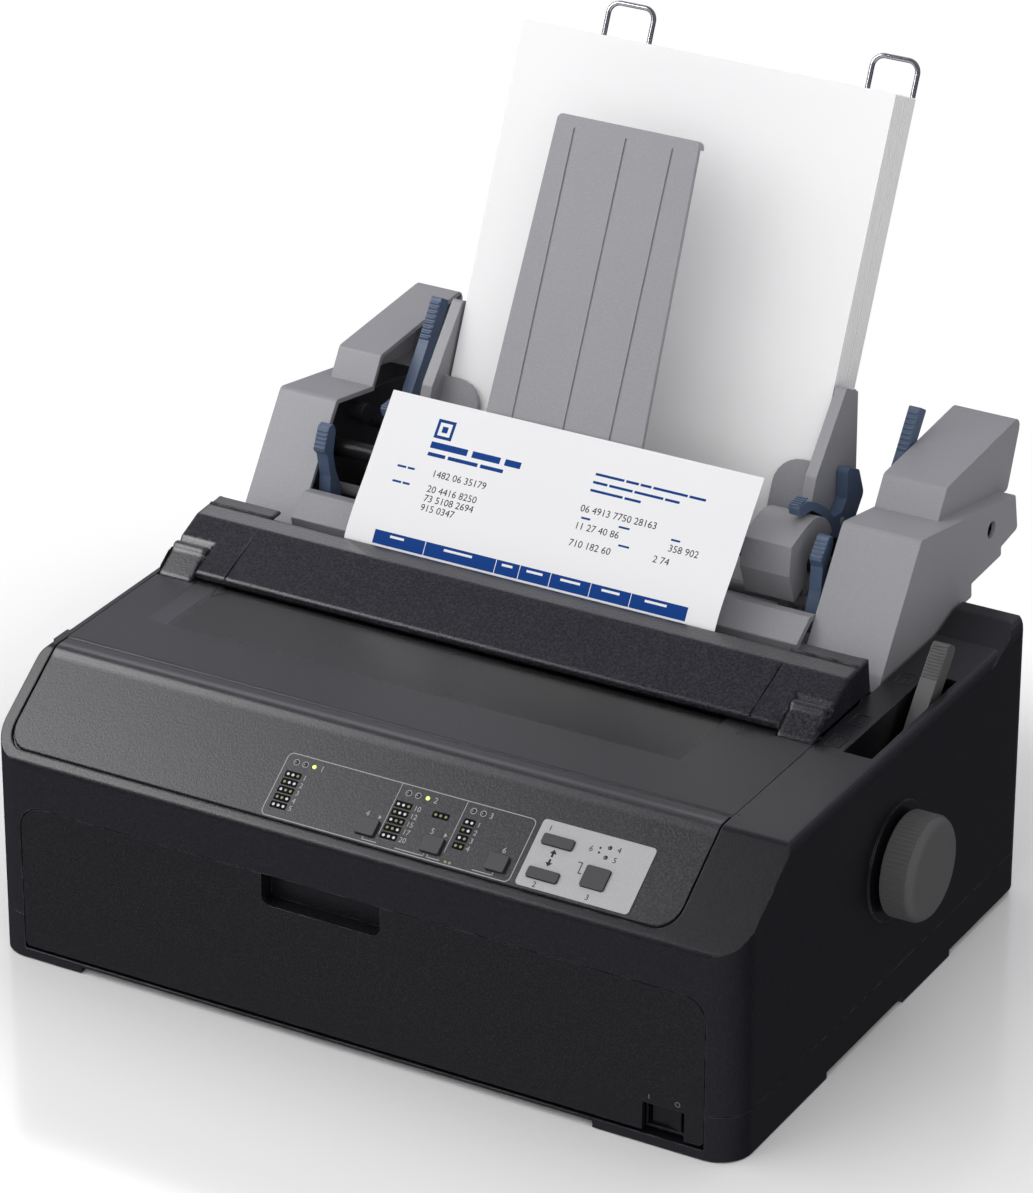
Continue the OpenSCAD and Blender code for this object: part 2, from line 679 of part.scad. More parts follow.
module print_head() place() color("#6c6f73") {
    x0 = carriage_x[0] + 8.3;
    x1 = carriage_x[1] - 8.3;
    slab([x0, x1], [96.3, 122], [74.3, 94]);
    for (i = [0:6]) slab([x0, x1], [96.3 + i * 4, 98.3 + i * 4], [93, 116]);
    across([x0 + 6, x1 - 6]) polygon([[121, 76], [134, 81], [141.2, 82], [141.2, 92], [134, 93],
        [121, 94]]);
}

module belt_loop(r) {
    polygon(concat(arc([pulley_x[1], pulley_y], r, -90, 90), arc([pulley_x[0], pulley_y], r, 90, 270)));
}

module drive_belt() place() color("#1a1a1a") translate([0, 0, belt_z[0]])
    linear_extrude(belt_z[1] - belt_z[0]) difference() {
        belt_loop(pulley_r + belt_t);
        belt_loop(pulley_r);
    }

module pulley(x) {
    translate([x, pulley_y, belt_z[0] - 0.6]) difference() {
        union() {
            linear_extrude(7.2) polygon([for (i = [0:39]) let (r = i % 4 < 2 ? 5.85 : 5.3)
                r * [cos(i * 9), sin(i * 9)]]);
            cylinder(h = 0.5, r = 8);
            translate([0, 0, 6.7]) cylinder(h = 0.5, r = 8);
        }
        translate([0, 0, -1]) cylinder(h = 12, r = 2.4 + fit);
    }
}

module carriage_motor() place() color("#8c9093") {
    post([pulley_x[0], pulley_y], [18, 48], 17);
    post([pulley_x[0], pulley_y], [48, 80], 2.4);
    slab([-167, -133], [64.1, 66], [10, 46]);
}

module motor_pulley() place() color("#d8d4c8") pulley(pulley_x[0]);
module idler_pulley() place() color("#d8d4c8") pulley(pulley_x[1]);

module ribbon_cartridge() place() color("#262628") difference() {
    union() {
        slab([-166, 138], [66, 90], [103, 121]);
        for (x = [[-166, -153], [127.5, 138]]) {
            slab(x, [66, 140], [103, 115]);
            slab(x, [132, 143], [80.5, 115]);
        }
        slab([-154, 128.5], [142, 142.35], [81, 93]);
        for (x = [-90, 0, 90]) slab([x - 14, x + 14], [70, 86], [120, 122]);
    }
    post([-140, 78], [110, 125], 3 + fit);
    for (x = [-60, -20, 20, 60]) slab([x - 8, x + 8], [74, 82], [121, 130]);
}

module ribbon_knob() place() color("#4a4a4c") union() {
    translate([-140, 78, 122.3]) linear_extrude(6)
        polygon([for (i = [0:35]) (i % 2 == 0 ? 8 : 7.3) * [cos(i * 10), sin(i * 10)]]);
    post([-140, 78], [112, 123], 3);
}

// ---------------------------------------------------------------- electrics

module circuit_boards() place() color("#2e6b43") {
    slab([-150, 60], [216, 282], [15, 16.6]);
    for (p = [[-140, 222], [50, 222], [-140, 276], [50, 276]]) post(p, [floor_z + wall + 3, 15], 3);
    for (c = [[-120, 232, 28], [-70, 240, 22], [-20, 230, 18], [20, 250, 14]])
        slab([c[0], c[0] + c[2]], [c[1], c[1] + c[2]], [16.6, 19.5]);
    for (x = [-110:22:22]) post([x, 272], [16.6, 30], 5);
    on_slope() {
        slab([-56, 148], [5, 46], [-8.6, -7]);
        for (p = [[-50, 26], [64, 40], [140, 12]]) post(p, [-7, -4.1], 3);
        for (i = [0:5]) translate([button_at[i][0], button_at[i][1], -7])
            slab([-2.5, 2.5], [-2, 2], [0, 0.4]);
    }
}

module power_supply() place() color("#9aa0a4") difference() {
    union() {
        slab([74, 146], [204, 206], [9.6, 58]);
        slab([74, 146], [206, 282], [9.6, 11.6]);
        slab([80, 118], [212, 246], [11.6, 46]);
        for (y = [252, 268]) post([92, y], [11.6, 42], 7);
        for (y = [216, 232, 248]) slab([124, 142], [y, y + 9], [11.6, 34]);
    }
    for (i = [0:6]) slab([80 + i * 9, 84 + i * 9], [200, 210], [20, 50]);
}

module interface_ports() place() color("#3b3b3e") {
    difference() {
        slab([-111.8, -18.2], [body_d - 3, body_d - 0.6], [30.2, 61.8]);
        slab([-104, -56], [body_d - 4, body_d + 1], [36, 47]);
        slab([-46, -33], [body_d - 4, body_d + 1], [36, 48]);
    }
    // wide connector with its two wire clips, and the square one
    difference() {
        slab([-103.8, -56.2], [body_d - 14, body_d - 0.8], [36.2, 46.8]);
        slab([-101, -59], [body_d - 6, body_d], [38.5, 44.5]);
    }
    slab([-99, -61], [body_d - 7, body_d - 2], [40.7, 42.3]);
    difference() {
        slab([-45.8, -33.2], [body_d - 18, body_d - 0.8], [36.2, 47.8]);
        slab([-44, -35], [body_d - 9, body_d], [38, 46]);
    }
    slab([-41.6, -37.4], [body_d - 10, body_d - 2.5], [40.5, 43.5]);
    slab([-108, -22], [284.2, 294.2], [13, 15]);
    slab([-104, -56], [290, 294.2], [14, 40]);
}

module power_inlet() place() color("#1a1a1c") {
    difference() {
        union() {
            slab([118.2, 149.8], [body_d - 4, body_d - 0.4], [32.2, 59.8]);
            slab([121, 147], [body_d - 24, body_d - 3], [36, 56]);
        }
        translate([0, body_d + 1, 0]) rotate([90, 0, 0]) linear_extrude(19)
            polygon(rounded([[122.2, 37.6], [145.8, 37.6], [145.8, 50], [141.5, 54.2], [126.5, 54.2],
                [122.2, 50]], [1.5, 1.5, 1, 1, 1, 1]));
    }
    for (p = [[134, 48.5], [127.5, 43.5], [140.5, 43.5]])
        slab([p[0] - 1, p[0] + 1], [body_d - 19, body_d - 4], [p[1] - 2.2, p[1] + 2.2]);
}

// ---------------------------------------------------------------- sheet feeder

function housing_line() = [[215, 139], [219, 147.3], [258.7, 203.9], [366.8, 184.2],
    [370.8, 163.9], [351.9, 161.3], [352.3, 156.5], [318.3, 155.2], [319, 147.6], [297, 147.6],
    [297, 139]];
housing_rs = [1, 4, 3.5, 3, 2, 1, 1, 1, 1, 0, 0];

function housing_top() = [[290, 190], [294.6, 198.9], [302.9, 211.9], [388.5, 218], [374.5, 181.4]];
housing_top_rs = [0, 0, 3, 5, 3];

module housing(outer, inner, step) {
    // outer and inner are the X of the closed side and of the open side; step is the upper block's side
    sgn = outer > inner ? 1 : -1;
    main_x = [min(outer, inner), max(outer, inner)];
    top_x = [min(step, inner), max(step, inner)];
    difference() {
        union() {
            across(main_x) polygon(rounded(housing_line(), housing_rs, 4));
            across(top_x) polygon(rounded(housing_top(), housing_top_rs, 4));
        }
        across([min(outer - sgn * 2.2, inner - sgn), max(outer - sgn * 2.2, inner - sgn)])
            polygon([[217.8, 130], [222.2, 148.8], [260.4, 201], [292, 195.2], [364.4, 182],
                [367.8, 166.2], [349, 163.6], [349.4, 159], [315.2, 157.8], [315.4, 150.2],
                [294, 150.2], [294, 130]]);
        across([min(step - sgn * 2.2, inner - sgn), max(step - sgn * 2.2, inner - sgn)])
            polygon([[293, 190], [296.7, 198], [304.4, 209.6], [384.8, 215.2], [372.2, 182.6]]);
        rod([min(outer - 5, outer + 5), max(outer - 5, outer + 5)], [339.5, 175.8], 4.6);
    }
}

module feeder_left_housing() place() color("#9c9ca0") housing(left_out, left_in, -188.5);
module feeder_right_housing() place() color("#9c9ca0") housing(right_out, right_in, 158.5);

module feeder_frame() place() color("#8e8e92") union() {
    // front bar and its tie behind
    across([left_in + gap, right_in - gap]) polygon(rounded([[214, 149], [212.5, 157], [226, 166],
        [232.5, 165], [233, 162.4], [227.5, 162.6], [216, 155], [217, 149]],
        [0, 1, 1, 1, 0, 0, 1, 0]));
    slab([plate_left + 2, plate_right], [238.5, 254], [140.2, 143]);
    across([left_in + gap, right_in - gap]) polygon([[214, 149], [238.5, 140.2], [240, 142.4],
        [217, 151.5]]);
    on_stack() {
        // guide in front of the stack, hopper plate behind it, and its cross beam
        slab([plate_left + 2, plate_right], [-4, -2.4], [8, 32]);
        slab([-112, 89], [stack_t + 1.1, stack_t + 3.7], [-4, wire_foot]);
        slab([plate_left + 2, plate_right], [stack_t + 3.5, stack_t + 7], [8, 20]);
        for (x = [-100, -16, 68]) slab([x - 2, x + 2], [stack_t + 3.6, stack_t + 9], [20, 130]);
    }
    rod([plate_left + 2, plate_right], rail_at, rail_r);
}

function plate_line() = [[238, 112], [252, 104], [300, 100], [300, 135], [293.4, 138.4],
    [293.4, 151], [314, 151.8],
    [314.4, 158.6], [348, 160], [347.6, 164.4], [366, 167.2], [363.4, 181], [296, 193.8],
    [262, 199.8], [235.8, 149.4], [236.4, 130]];

module feeder_side_plates() place() color("#222224") {
    for (x = [plate_left, plate_right]) difference() {
        across([x, x + 2]) polygon(plate_line());
        rod([x - 1, x + 3], pickup_at, 5 + fit);
    }
    // cross plate that ties them, behind the hopper
    on_stack() {
        slab([plate_left + 1, plate_right + 1], [stack_t + 9.2, stack_t + 11], [16, 24]);
        slab([-150, 110], [stack_t + 9.2, stack_t + 11], [16, 88]);
    }
    // pins of the levers, and a boss on each plate
    for (p = [hook_pin, set_pin]) {
        rod([plate_left + 2, -152], p, lever_pin_r);
        rod([113, plate_right], p, lever_pin_r);
    }
    rod([plate_left + 2, -160], [282, 188], 5);
    rod([132, plate_right], [282, 188], 5);
    rod([plate_left + 2, -163], [330, 172], 6);
    rod([136, plate_right], [330, 172], 6);
}

module wire_loop(x0, x1) {
    r = 6;
    for (x = [x0, x1]) translate([x, wire_n, wire_foot]) cylinder(h = wire_top - r - wire_foot, r = wire_r);
    translate([x0 + r, wire_n, wire_top]) rotate([0, 90, 0]) cylinder(h = x1 - x0 - 2 * r, r = wire_r);
    for (c = [[x0 + r, 90], [x1 - r, 0]]) translate([c[0], wire_n, wire_top - r]) rotate([90, 0, 0])
        rotate([0, 0, c[1]]) rotate_extrude(angle = 90) translate([r, 0]) circle(r = wire_r, $fn = 24);
}

module paper_wires() place() color("silver") on_stack() {
    wire_loop(-88, -62);
    wire_loop(61.5, 86.5);
}

// Frame of the stacker plate: Z up along it
module on_stacker() { translate([paper_x - 8, 218, 163]) rotate([-25, 0, 0]) children(); }

module stacker() place() color("#9a9a9e") on_stacker() {
    top = 219.5;
    difference() {
        union() {
            deep([-2.6, 0]) polygon(rounded([[-46, -4.5], [46, -4.5], [39.6, top], [-39.6, top]],
                [0, 0, 5, 5]));
            // turned top lip, side ribs and foot
            deep([-2.6, 3.5]) polygon(rounded([[-39.7, top - 4], [39.7, top - 4], [39.6, top],
                [-39.6, top]], [0, 0, 3, 3]));
            for (s = [-1, 1]) deep([-0.1, 3]) polygon([[s * 44, 3], [s * 42, 3], [s * 36, top - 2],
                [s * 38, top - 2]]);
        }
        for (x = [-29, 0, 26]) slab([x - 0.5, x + 0.5], [-3, -1.9], [4, top - 6]);
    }
}

// Side profile of a roller hood, round above and flat in front
module hood_shape(r, cut) {
    polygon(concat(arc([pickup_at[0], pickup_at[1]], r, 20, 108, 10),
        [[pickup_at[0] - 0.93 * r - cut, pickup_at[1] + 0.76 * r],
         [pickup_at[0] - r - cut, pickup_at[1] + 2],
         [pickup_at[0] - 0.72 * r - cut, pickup_at[1] - 0.62 * r],
         [pickup_at[0] - 0.3 * r, pickup_at[1] - 0.4 * r]]));
}

function fin_line() = [[258, 147], [270, 147], [272, 160], [283, 176], [300, 176], [327.5, 186],
    [327, 240.5], [314.5, 247], [283, 211], [278, 197.5], [262, 199], [250, 186], [252, 168]];
function fin_radii() = [2, 2, 4, 4, 4, 4, 1.5, 2, 5, 4, 4, 4, 4];

module guide(fin, hood, side) {
    // side is 1 where the fin stands to the right of the paper, -1 where it stands to the left
    difference() {
        union() {
            across(fin) polygon(rounded(fin_line(), fin_radii(), 4));
            difference() {
                across(hood) hood_shape(hood_out, 1);
                across([hood[0] + 2, hood[1] - 2]) hood_shape(hood_in, 0);
                across([hood[0] + 2, hood[1] - 2]) polygon(arc(pickup_at, hood_in, 0, 360, 40));
            }
            // rounded plate in front of the stack's corner
            on_stack() deep([-4.2, -2.2]) polygon(rounded(side > 0
                ? [[fin[0] - 22, 84], [fin[0] + 1, 84], [fin[0] + 1, 112], [fin[0] - 22, 112]]
                : [[fin[1] - 1, 84], [fin[1] + 22, 84], [fin[1] + 22, 112], [fin[1] - 1, 112]],
                side > 0 ? [2, 0, 0, 14] : [0, 2, 14, 0], 6));
        }
        rod([fin[0] - 1, fin[1] + 1], pickup_at, 5 + fit);
        rod([hood[0] - 1, hood[1] + 1], pickup_at, 5 + fit);
        rod([fin[0] - 1, fin[1] + 1], rail_at, rail_r + fit);
    }
    outer = side > 0 ? [fin[1] - 1, fin[1] + 6.6] : [fin[0] - 6.6, fin[0] + 1];
    rod(outer, lock_pin, lever_pin_r);
}

module left_guide() place() color("#9c9ca0") guide(left_fin, left_hood, -1);
module right_guide() place() color("#9c9ca0") guide(right_fin, right_hood, 1);

// Locking lever beside a guide's fin: a ribbed thumb piece in front and a tail behind
module lock_lever(x) difference() {
    union() {
        across(x) polygon(rounded([[252, 209], [262, 208.5], [272, 203.5], [284, 195.5],
            [291, 188], [300, 187], [305, 192], [305, 209], [318, 203], [324, 188], [312, 174],
            [297, 174], [287, 178], [284, 187.5], [277, 194.8], [267, 201.5], [254, 203.5]],
            [1, 2, 3, 2, 2, 2, 2, 2, 3, 4, 3, 3, 2, 1, 2, 2, 1], 3));
        for (i = [0:4]) rod([x[0] + 0.3, x[1] - 0.3], [253.2 + i * 2.1, 209.4 + i * 0.15], 0.6);
    }
    rod([x[0] - 1, x[1] + 1], lock_pin, lever_pin_r + fit);
}

module left_lock_lever() place() color("#5c6f95") lock_lever([left_fin[0] - 6.3, left_fin[0] - 0.3]);
module right_lock_lever() place() color("#5c6f95") lock_lever([right_fin[1] + 0.3, right_fin[1] + 6.3]);

// Tall ribbed lever that drops the hopper, drawn upright from its pin and then leant back
module set_lever(x) translate([0, set_pin[0], set_pin[1]]) rotate([-9.5, 0, 0]) difference() {
    union() {
        across(x) polygon(rounded([[-6, -6], [6, -6], [21, 24], [27, 40], [38, 62], [30, 65],
            [19, 42], [9, 24]], [4, 4, 2, 2, 1, 1, 2, 2], 3));
        for (i = [0:7]) for (edge = [[20, 44], [27.8, 41.6]])
            rod([x[0] + 0.4, x[1] - 0.4], edge + (1 + i * 2.7) * [0.435, 0.9], 0.9);
    }
    rod([x[0] - 1, x[1] + 1], [0, 0], lever_pin_r + fit);
}

module left_set_lever() place() color("#4a5f86") set_lever([-157, -151]);
module right_set_lever() place() color("#4a5f86") set_lever([117.4, 123.4]);

// Short ribbed lever that hooks the feeder to the printer
module hook_lever(x, back) translate([0, hook_pin[0], hook_pin[1]]) rotate([-back, 0, 0])
    difference() {
        union() {
            across(x) polygon(rounded([[-5.5, -5.5], [5.5, -5.5], [6.5, 6], [1, 18], [-1, 28],
                [2, 39.5], [-0.5, 44], [-4.5, 43.5], [-9.8, 32], [-6.5, 28.5], [-4, 16]],
                [3, 3, 3, 3, 2, 1.5, 1.5, 1.5, 1.2, 1.5, 3], 3));
            for (i = [0:4]) rod([x[0] + 0.3, x[1] - 0.3],
                [-9.2, 33.3] + i * 2.2 * [0.419, 0.908], 0.6);
        }
        rod([x[0] - 1, x[1] + 1], [0, 0], lever_pin_r + fit);
    }

module left_hook_lever() place() color("#5c6f95") hook_lever([-162.9, -156.4], 0);
module right_hook_lever() place() color("#5c6f95") hook_lever([113.5, 120], 17);

module pickup_shaft() place() color("silver") {
    rod([plate_left - 3, plate_right + 4], pickup_at, 5);
    rod([plate_left - 5, plate_left - 3], pickup_at, 8.5);
}

module pickup_roller(x) difference() {
    rod(x, pickup_at, pickup_r);
    rod([x[0] - 1, x[1] + 1], pickup_at, 5 + fit);
    for (a = [0:60:300]) rod([x[0] - 1, x[0] + 3],
        pickup_at + 12 * [cos(a), sin(a)], 3);
}

module left_pickup_roller() place() color("#3a3a3c")
    pickup_roller([left_fin[1] + 0.5, left_hood[1] - 2.5]);
module right_pickup_roller() place() color("#3a3a3c")
    pickup_roller([right_hood[0] + 2.5, right_fin[0] - 0.5]);

module paper_stack() place() color("#f0f0f0") on_stack() {
    translate([paper_x - sheet_w / 2, 0, 0]) cube([sheet_w, stack_t, sheet_l]);
}

module printed_sheet() place() color("#f4f4f4")
    across([paper_x - sheet_w / 2 + 0.5, paper_x + sheet_w / 2 + 0.5])
        polygon([[178, 124], [193.5, 165], [217, 194.8], [242.4, 225.7], [242.7, 225.4], [217.3, 194.5],
            [193.9, 164.8], [178.4, 123.9]]);

// ---------------------------------------------------------------- the pieces

lower_case();
upper_case();
rubber_feet();
case_screws();
control_panel();
button_plate();
panel_lights();
font_button();
pitch_button();
set_button();
load_button();
feed_button();
pause_button();
front_cover();
cover_window();
cover_bar();
power_rocker();
switch_frame();
release_lever();
thickness_lever();
base_frame();
side_frames();
platen_roller();
platen_shaft();
platen_gear();
feed_knob();
feed_motor();
motor_pinion();
carriage_rails();
carriage();
print_head();
drive_belt();
carriage_motor();
motor_pulley();
idler_pulley();
ribbon_cartridge();
ribbon_knob();
circuit_boards();
power_supply();
interface_ports();
power_inlet();
feeder_left_housing();
feeder_right_housing();
feeder_frame();
feeder_side_plates();
paper_wires();
stacker();
left_guide();
right_guide();
left_lock_lever();
right_lock_lever();
left_set_lever();
right_set_lever();
left_hook_lever();
right_hook_lever();
pickup_shaft();
left_pickup_roller();
right_pickup_roller();
paper_stack();
printed_sheet();
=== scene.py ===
"""Looks of a desktop dot matrix printer with a cut sheet feeder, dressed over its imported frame."""
import logging
import math
from dataclasses import dataclass, field
from enum import Enum
from typing import Callable, ClassVar, Iterable, Sequence

import bpy
from mathutils import Matrix, Vector


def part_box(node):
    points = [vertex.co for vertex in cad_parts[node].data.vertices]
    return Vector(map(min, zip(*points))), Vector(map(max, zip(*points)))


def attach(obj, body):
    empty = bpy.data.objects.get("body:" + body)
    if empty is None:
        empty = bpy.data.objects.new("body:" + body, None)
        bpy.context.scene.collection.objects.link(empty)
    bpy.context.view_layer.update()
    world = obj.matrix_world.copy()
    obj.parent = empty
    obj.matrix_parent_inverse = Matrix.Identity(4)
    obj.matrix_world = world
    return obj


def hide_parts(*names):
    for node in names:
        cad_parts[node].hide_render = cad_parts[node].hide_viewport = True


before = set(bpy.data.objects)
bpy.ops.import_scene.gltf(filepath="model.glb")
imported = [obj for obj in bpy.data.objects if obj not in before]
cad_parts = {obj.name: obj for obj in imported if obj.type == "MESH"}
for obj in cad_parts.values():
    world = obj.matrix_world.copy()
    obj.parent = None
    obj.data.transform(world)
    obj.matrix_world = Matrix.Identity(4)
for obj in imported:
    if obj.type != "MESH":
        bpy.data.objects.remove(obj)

LOG = logging.getLogger("printer")
MM = 0.001
DIGIT_SIZE = 1.42  # size of the type whose digits are one unit high
# colour of the painted shade in narrow gaps and grooves
GAP_SHADE_COLOUR = (2, 2, 3)
WHITE = (1.0, 1.0, 1.0, 1.0)
Outline = Sequence[tuple[float, float]]
Rgb = tuple[int, int, int]
Zone = tuple[float, float, float, float]


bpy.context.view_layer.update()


# ---------------------------------------------------------------- places


@dataclass(frozen=True)
class Datum:
    """Where the case stands in the frame: X from its middle, Y from its front, Z from the table."""

    middle: float
    front: float

    @classmethod
    def of_case(cls) -> "Datum":
        """The datum that the lower case gives."""
        low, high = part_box("lower_case")
        return cls((low.x + high.x) / 2, low.y)

    def matrix(self) -> Matrix:
        """Turns printer millimetres into metres of the frame."""
        return Matrix.Translation((self.middle, self.front, 0)) @ Matrix.Scale(MM, 4)


@dataclass(frozen=True)
class Layout:
    """Driving sizes in millimetres that the dressing shares with the construction."""

    crease_z: float = 109
    slope_run: float = 52
    slope_rise: float = 37
    top_z: float = 146
    stack_foot_y: float = 254.7
    stack_foot_z: float = 108.3
    lean: float = 23.86
    sheet_width: float = 210
    sheet_length: float = 297
    stack_depth: float = 25
    paper_x: float = -15.5

    def slope(self) -> Matrix:
        """Frame of the sloping panel: X across, Y up the slope, Z out of it."""
        angle = math.atan2(self.slope_rise, self.slope_run)
        return Matrix.Translation((0, 0, self.crease_z)) @ Matrix.Rotation(angle, 4, "X")

    def stack(self) -> Matrix:
        """Frame of the stack: Y through the paper to the rear, Z up along it."""
        foot = Matrix.Translation((0, self.stack_foot_y, self.stack_foot_z))
        return foot @ Matrix.Rotation(math.radians(-self.lean), 4, "X")

    def front_face(self, y: float = 0) -> Matrix:
        """Frame on an upright face at depth y: X across, Y up, Z out to the front."""
        return Matrix.Translation((0, y, 0)) @ Matrix.Rotation(math.pi / 2, 4, "X")


# ---------------------------------------------------------------- shapes


def rounded_box(x0: float, x1: float, y0: float, y1: float, radius: float, steps: int = 5) -> list:
    """Outline of a rectangle with round corners.

    Args:
        x0, x1, y0, y1: Its edges.
        radius: Radius of each corner.
        steps: Pieces in each quarter turn.

    Returns:
        Its points, anticlockwise.
    """
    corners = [(x1 - radius, y0 + radius, -90), (x1 - radius, y1 - radius, 0),
               (x0 + radius, y1 - radius, 90), (x0 + radius, y0 + radius, 180)]
    points = []
    for cx, cy, start in corners:
        for i in range(steps + 1):
            a = math.radians(start + 90 * i / steps)
            points.append((cx + radius * math.cos(a), cy + radius * math.sin(a)))
    return points


def disc_outline(cx: float, cy: float, radius: float, sides: int = 20) -> list:
    """Outline of a round mark, anticlockwise from its right."""
    return [(cx + radius * math.cos(2 * math.pi * i / sides),
             cy + radius * math.sin(2 * math.pi * i / sides)) for i in range(sides)]


def anticlockwise(points: Outline) -> list:
    """The same outline, turned so that it runs anticlockwise."""
    area = sum(ax * by - bx * ay for (ax, ay), (bx, by) in zip(points, [*points[1:], points[0]]))
    return list(points) if area > 0 else list(reversed(points))


@dataclass
class Shape:
    """Points in printer millimetres and faces with a finish number, gathered into one mesh."""

    points: list[Vector] = field(default_factory=list)
    faces: list[tuple[int, ...]] = field(default_factory=list)
    finish: list[int] = field(default_factory=list)

    def add(self, points: Iterable, faces: Iterable, matrix: Matrix | None = None,
            finish: int = 0) -> None:
        """Adds points and faces.

        Args:
            points: The points.
            faces: The faces, as numbers of the new points.
            matrix: Placement; none leaves the points where they are.
            finish: Finish number of the new faces.
        """
        base = len(self.points)
        place = matrix or Matrix.Identity(4)
        self.points += [place @ Vector(p) for p in points]
        new = [tuple(base + i for i in f) for f in faces]
        self.faces += new
        self.finish += [finish] * len(new)

    def prism(self, outline: Outline, low: float, high: float, matrix: Matrix | None = None,
              finish: int = 0) -> None:
        """Adds a closed block.

        Args:
            outline: Its outline in XY, anticlockwise.
            low, high: The heights of its two ends.
            matrix: Placement; none leaves the points where they are.
            finish: Finish number of the new faces.
        """
        n = len(outline)
        points = [(x, y, z) for z in (low, high) for x, y in outline]
        faces = [tuple(reversed(range(n))), tuple(range(n, 2 * n))]
        faces += [(i, (i + 1) % n, n + (i + 1) % n, n + i) for i in range(n)]
        self.add(points, faces, matrix, finish)

    def ring(self, outer: Outline, inner: Outline, low: float, high: float,
             matrix: Matrix | None = None, finish: int = 0) -> None:
        """Adds a closed frame.

        Args:
            outer, inner: Its two outlines in XY, with the same number of points.
            low, high: The heights of its two ends.
            matrix: Placement; none leaves the points where they are.
            finish: Finish number of the new faces.
        """
        n = len(outer)
        points = [(x, y, z) for z in (low, high) for line in (outer, inner) for x, y in line]
        faces = []
        for i in range(n):
            j = (i + 1) % n
            a, b, c, d = i, j, n + j, n + i
            faces += [(b, a, d, c), (2 * n + a, 2 * n + b, 2 * n + c, 2 * n + d),
                      (a, b, 2 * n + b, 2 * n + a), (c, d, 2 * n + d, 2 * n + c)]
        self.add(points, faces, matrix, finish)

    def stroke(self, points: Outline, width: float, low: float, high: float,
               matrix: Matrix | None = None, finish: int = 0) -> None:
        """Adds a line of straight bars, squared at their ends.

        Args:
            points: The middle line in XY.
            width: Width of the bars.
            low, high: The heights of their two ends.
            matrix: Placement; none leaves the points where they are.
            finish: Finish number of the new faces.
        """
        for (ax, ay), (bx, by) in zip(points, points[1:]):
            along = Vector((bx - ax, by - ay)).normalized() * width / 2
            side = Vector((-along.y, along.x))
            a, b = Vector((ax, ay)) - along, Vector((bx, by)) + along
            corners = [a - side, b - side, b + side, a + side]
            self.prism([(c.x, c.y) for c in corners], low, high, matrix, finish)

    def lathe(self, profile: Outline, segments: int, matrix: Matrix | None = None,
              finish: int = 0) -> None:
        """Turns a profile round Z.

        Args:
            profile: Radius and height of each point; the first and the last are on the axis.
            segments: Faces round the axis.
            matrix: Placement; none leaves the points where they are.
            finish: Finish number of the new faces.
        """
        rings = profile[1:-1]
        points = [(0, 0, profile[0][1])]
        for r, z in rings:
            points += [(r * math.cos(2 * math.pi * i / segments),
                        r * math.sin(2 * math.pi * i / segments), z) for i in range(segments)]
        points.append((0, 0, profile[-1][1]))
        last = len(points) - 1
        faces = []
        for i in range(segments):
            j = (i + 1) % segments
            faces.append((0, 1 + j, 1 + i))
            for k in range(len(rings) - 1):
                a = 1 + k * segments
                faces.append((a + i, a + j, a + segments + j, a + segments + i))
            top = 1 + (len(rings) - 1) * segments
            faces.append((top + i, top + j, last))
        self.add(points, faces, matrix, finish)

    def numerals(self, text: str, x: float, y: float, height: float, low: float, high: float,
                 matrix: Matrix | None = None, finish: int = 0) -> None:
        """Adds plain numerals whose lower left corner is at x, y.

        Args:
            text: Digits and spaces.
            x, y: Lower left corner.
            height: Height of a digit.
            low, high: The heights between which the numerals are solid.
            matrix: Placement.
            finish: Finish number of the new faces.
        """
        curve = bpy.data.curves.new("numerals", "FONT")
        curve.body, curve.resolution_u, curve.size = text, 3, height * DIGIT_SIZE
        curve.extrude = (high - low) / 2
        maker = bpy.data.objects.new("numerals", curve)
        bpy.context.scene.collection.objects.link(maker)
        graph = bpy.context.evaluated_depsgraph_get()
        mesh = bpy.data.meshes.new_from_object(maker.evaluated_get(graph))
        shift = Vector((x, y, (low + high) / 2))
        self.add([v.co + shift for v in mesh.vertices], [tuple(p.vertices) for p in mesh.polygons],
                 matrix, finish)
        bpy.data.objects.remove(maker)
        bpy.data.meshes.remove(mesh)
        bpy.data.curves.remove(curve)

    def bend(self, place: Callable[[Vector], Vector]) -> None:
        """Moves every point to where a function places it."""
        self.points = [place(p) for p in self.points]

    def to_object(self, name: str, datum: Datum, materials: Sequence[bpy.types.Material],
                  smooth_angle: float = 0) -> bpy.types.Object:
        """Makes the mesh object.

        Args:
            name: The piece's name.
            datum: Place of the case.
            materials: One material for each finish number.
            smooth_angle: Edges flatter than this many degrees are shaded smooth; 0 is flat.

        Returns:
            The new object, linked to the scene.
        """
        mesh = bpy.data.meshes.new(name)
        to_frame = datum.matrix()
        mesh.from_pydata([to_frame @ p for p in self.points], [], self.faces)
        for material in materials:
            mesh.materials.append(material)
        mesh.polygons.foreach_set("material_index", self.finish)
        mesh.validate()
        if smooth_angle:
            mesh.shade_smooth()
            mesh.set_sharp_from_angle(angle=math.radians(smooth_angle))
        made = bpy.data.objects.new(name, mesh)
        bpy.context.scene.collection.objects.link(made)
        return made


# ---------------------------------------------------------------- shader parts


def linear(colour: Rgb) -> tuple[float, float, float, float]:
    """Turns screen values into the linear colour that a shader takes.

    Args:
        colour: Red, green and blue from 0 to 255.

    Returns:
        The linear colour with an alpha of 1.
    """
    def channel(v: int) -> float:
        """One screen value as a linear one."""
        c = v / 255
        return c / 12.92 if c <= 0.04045 else ((c + 0.055) / 1.055) ** 2.4
    return (*[channel(v) for v in colour], 1.0)


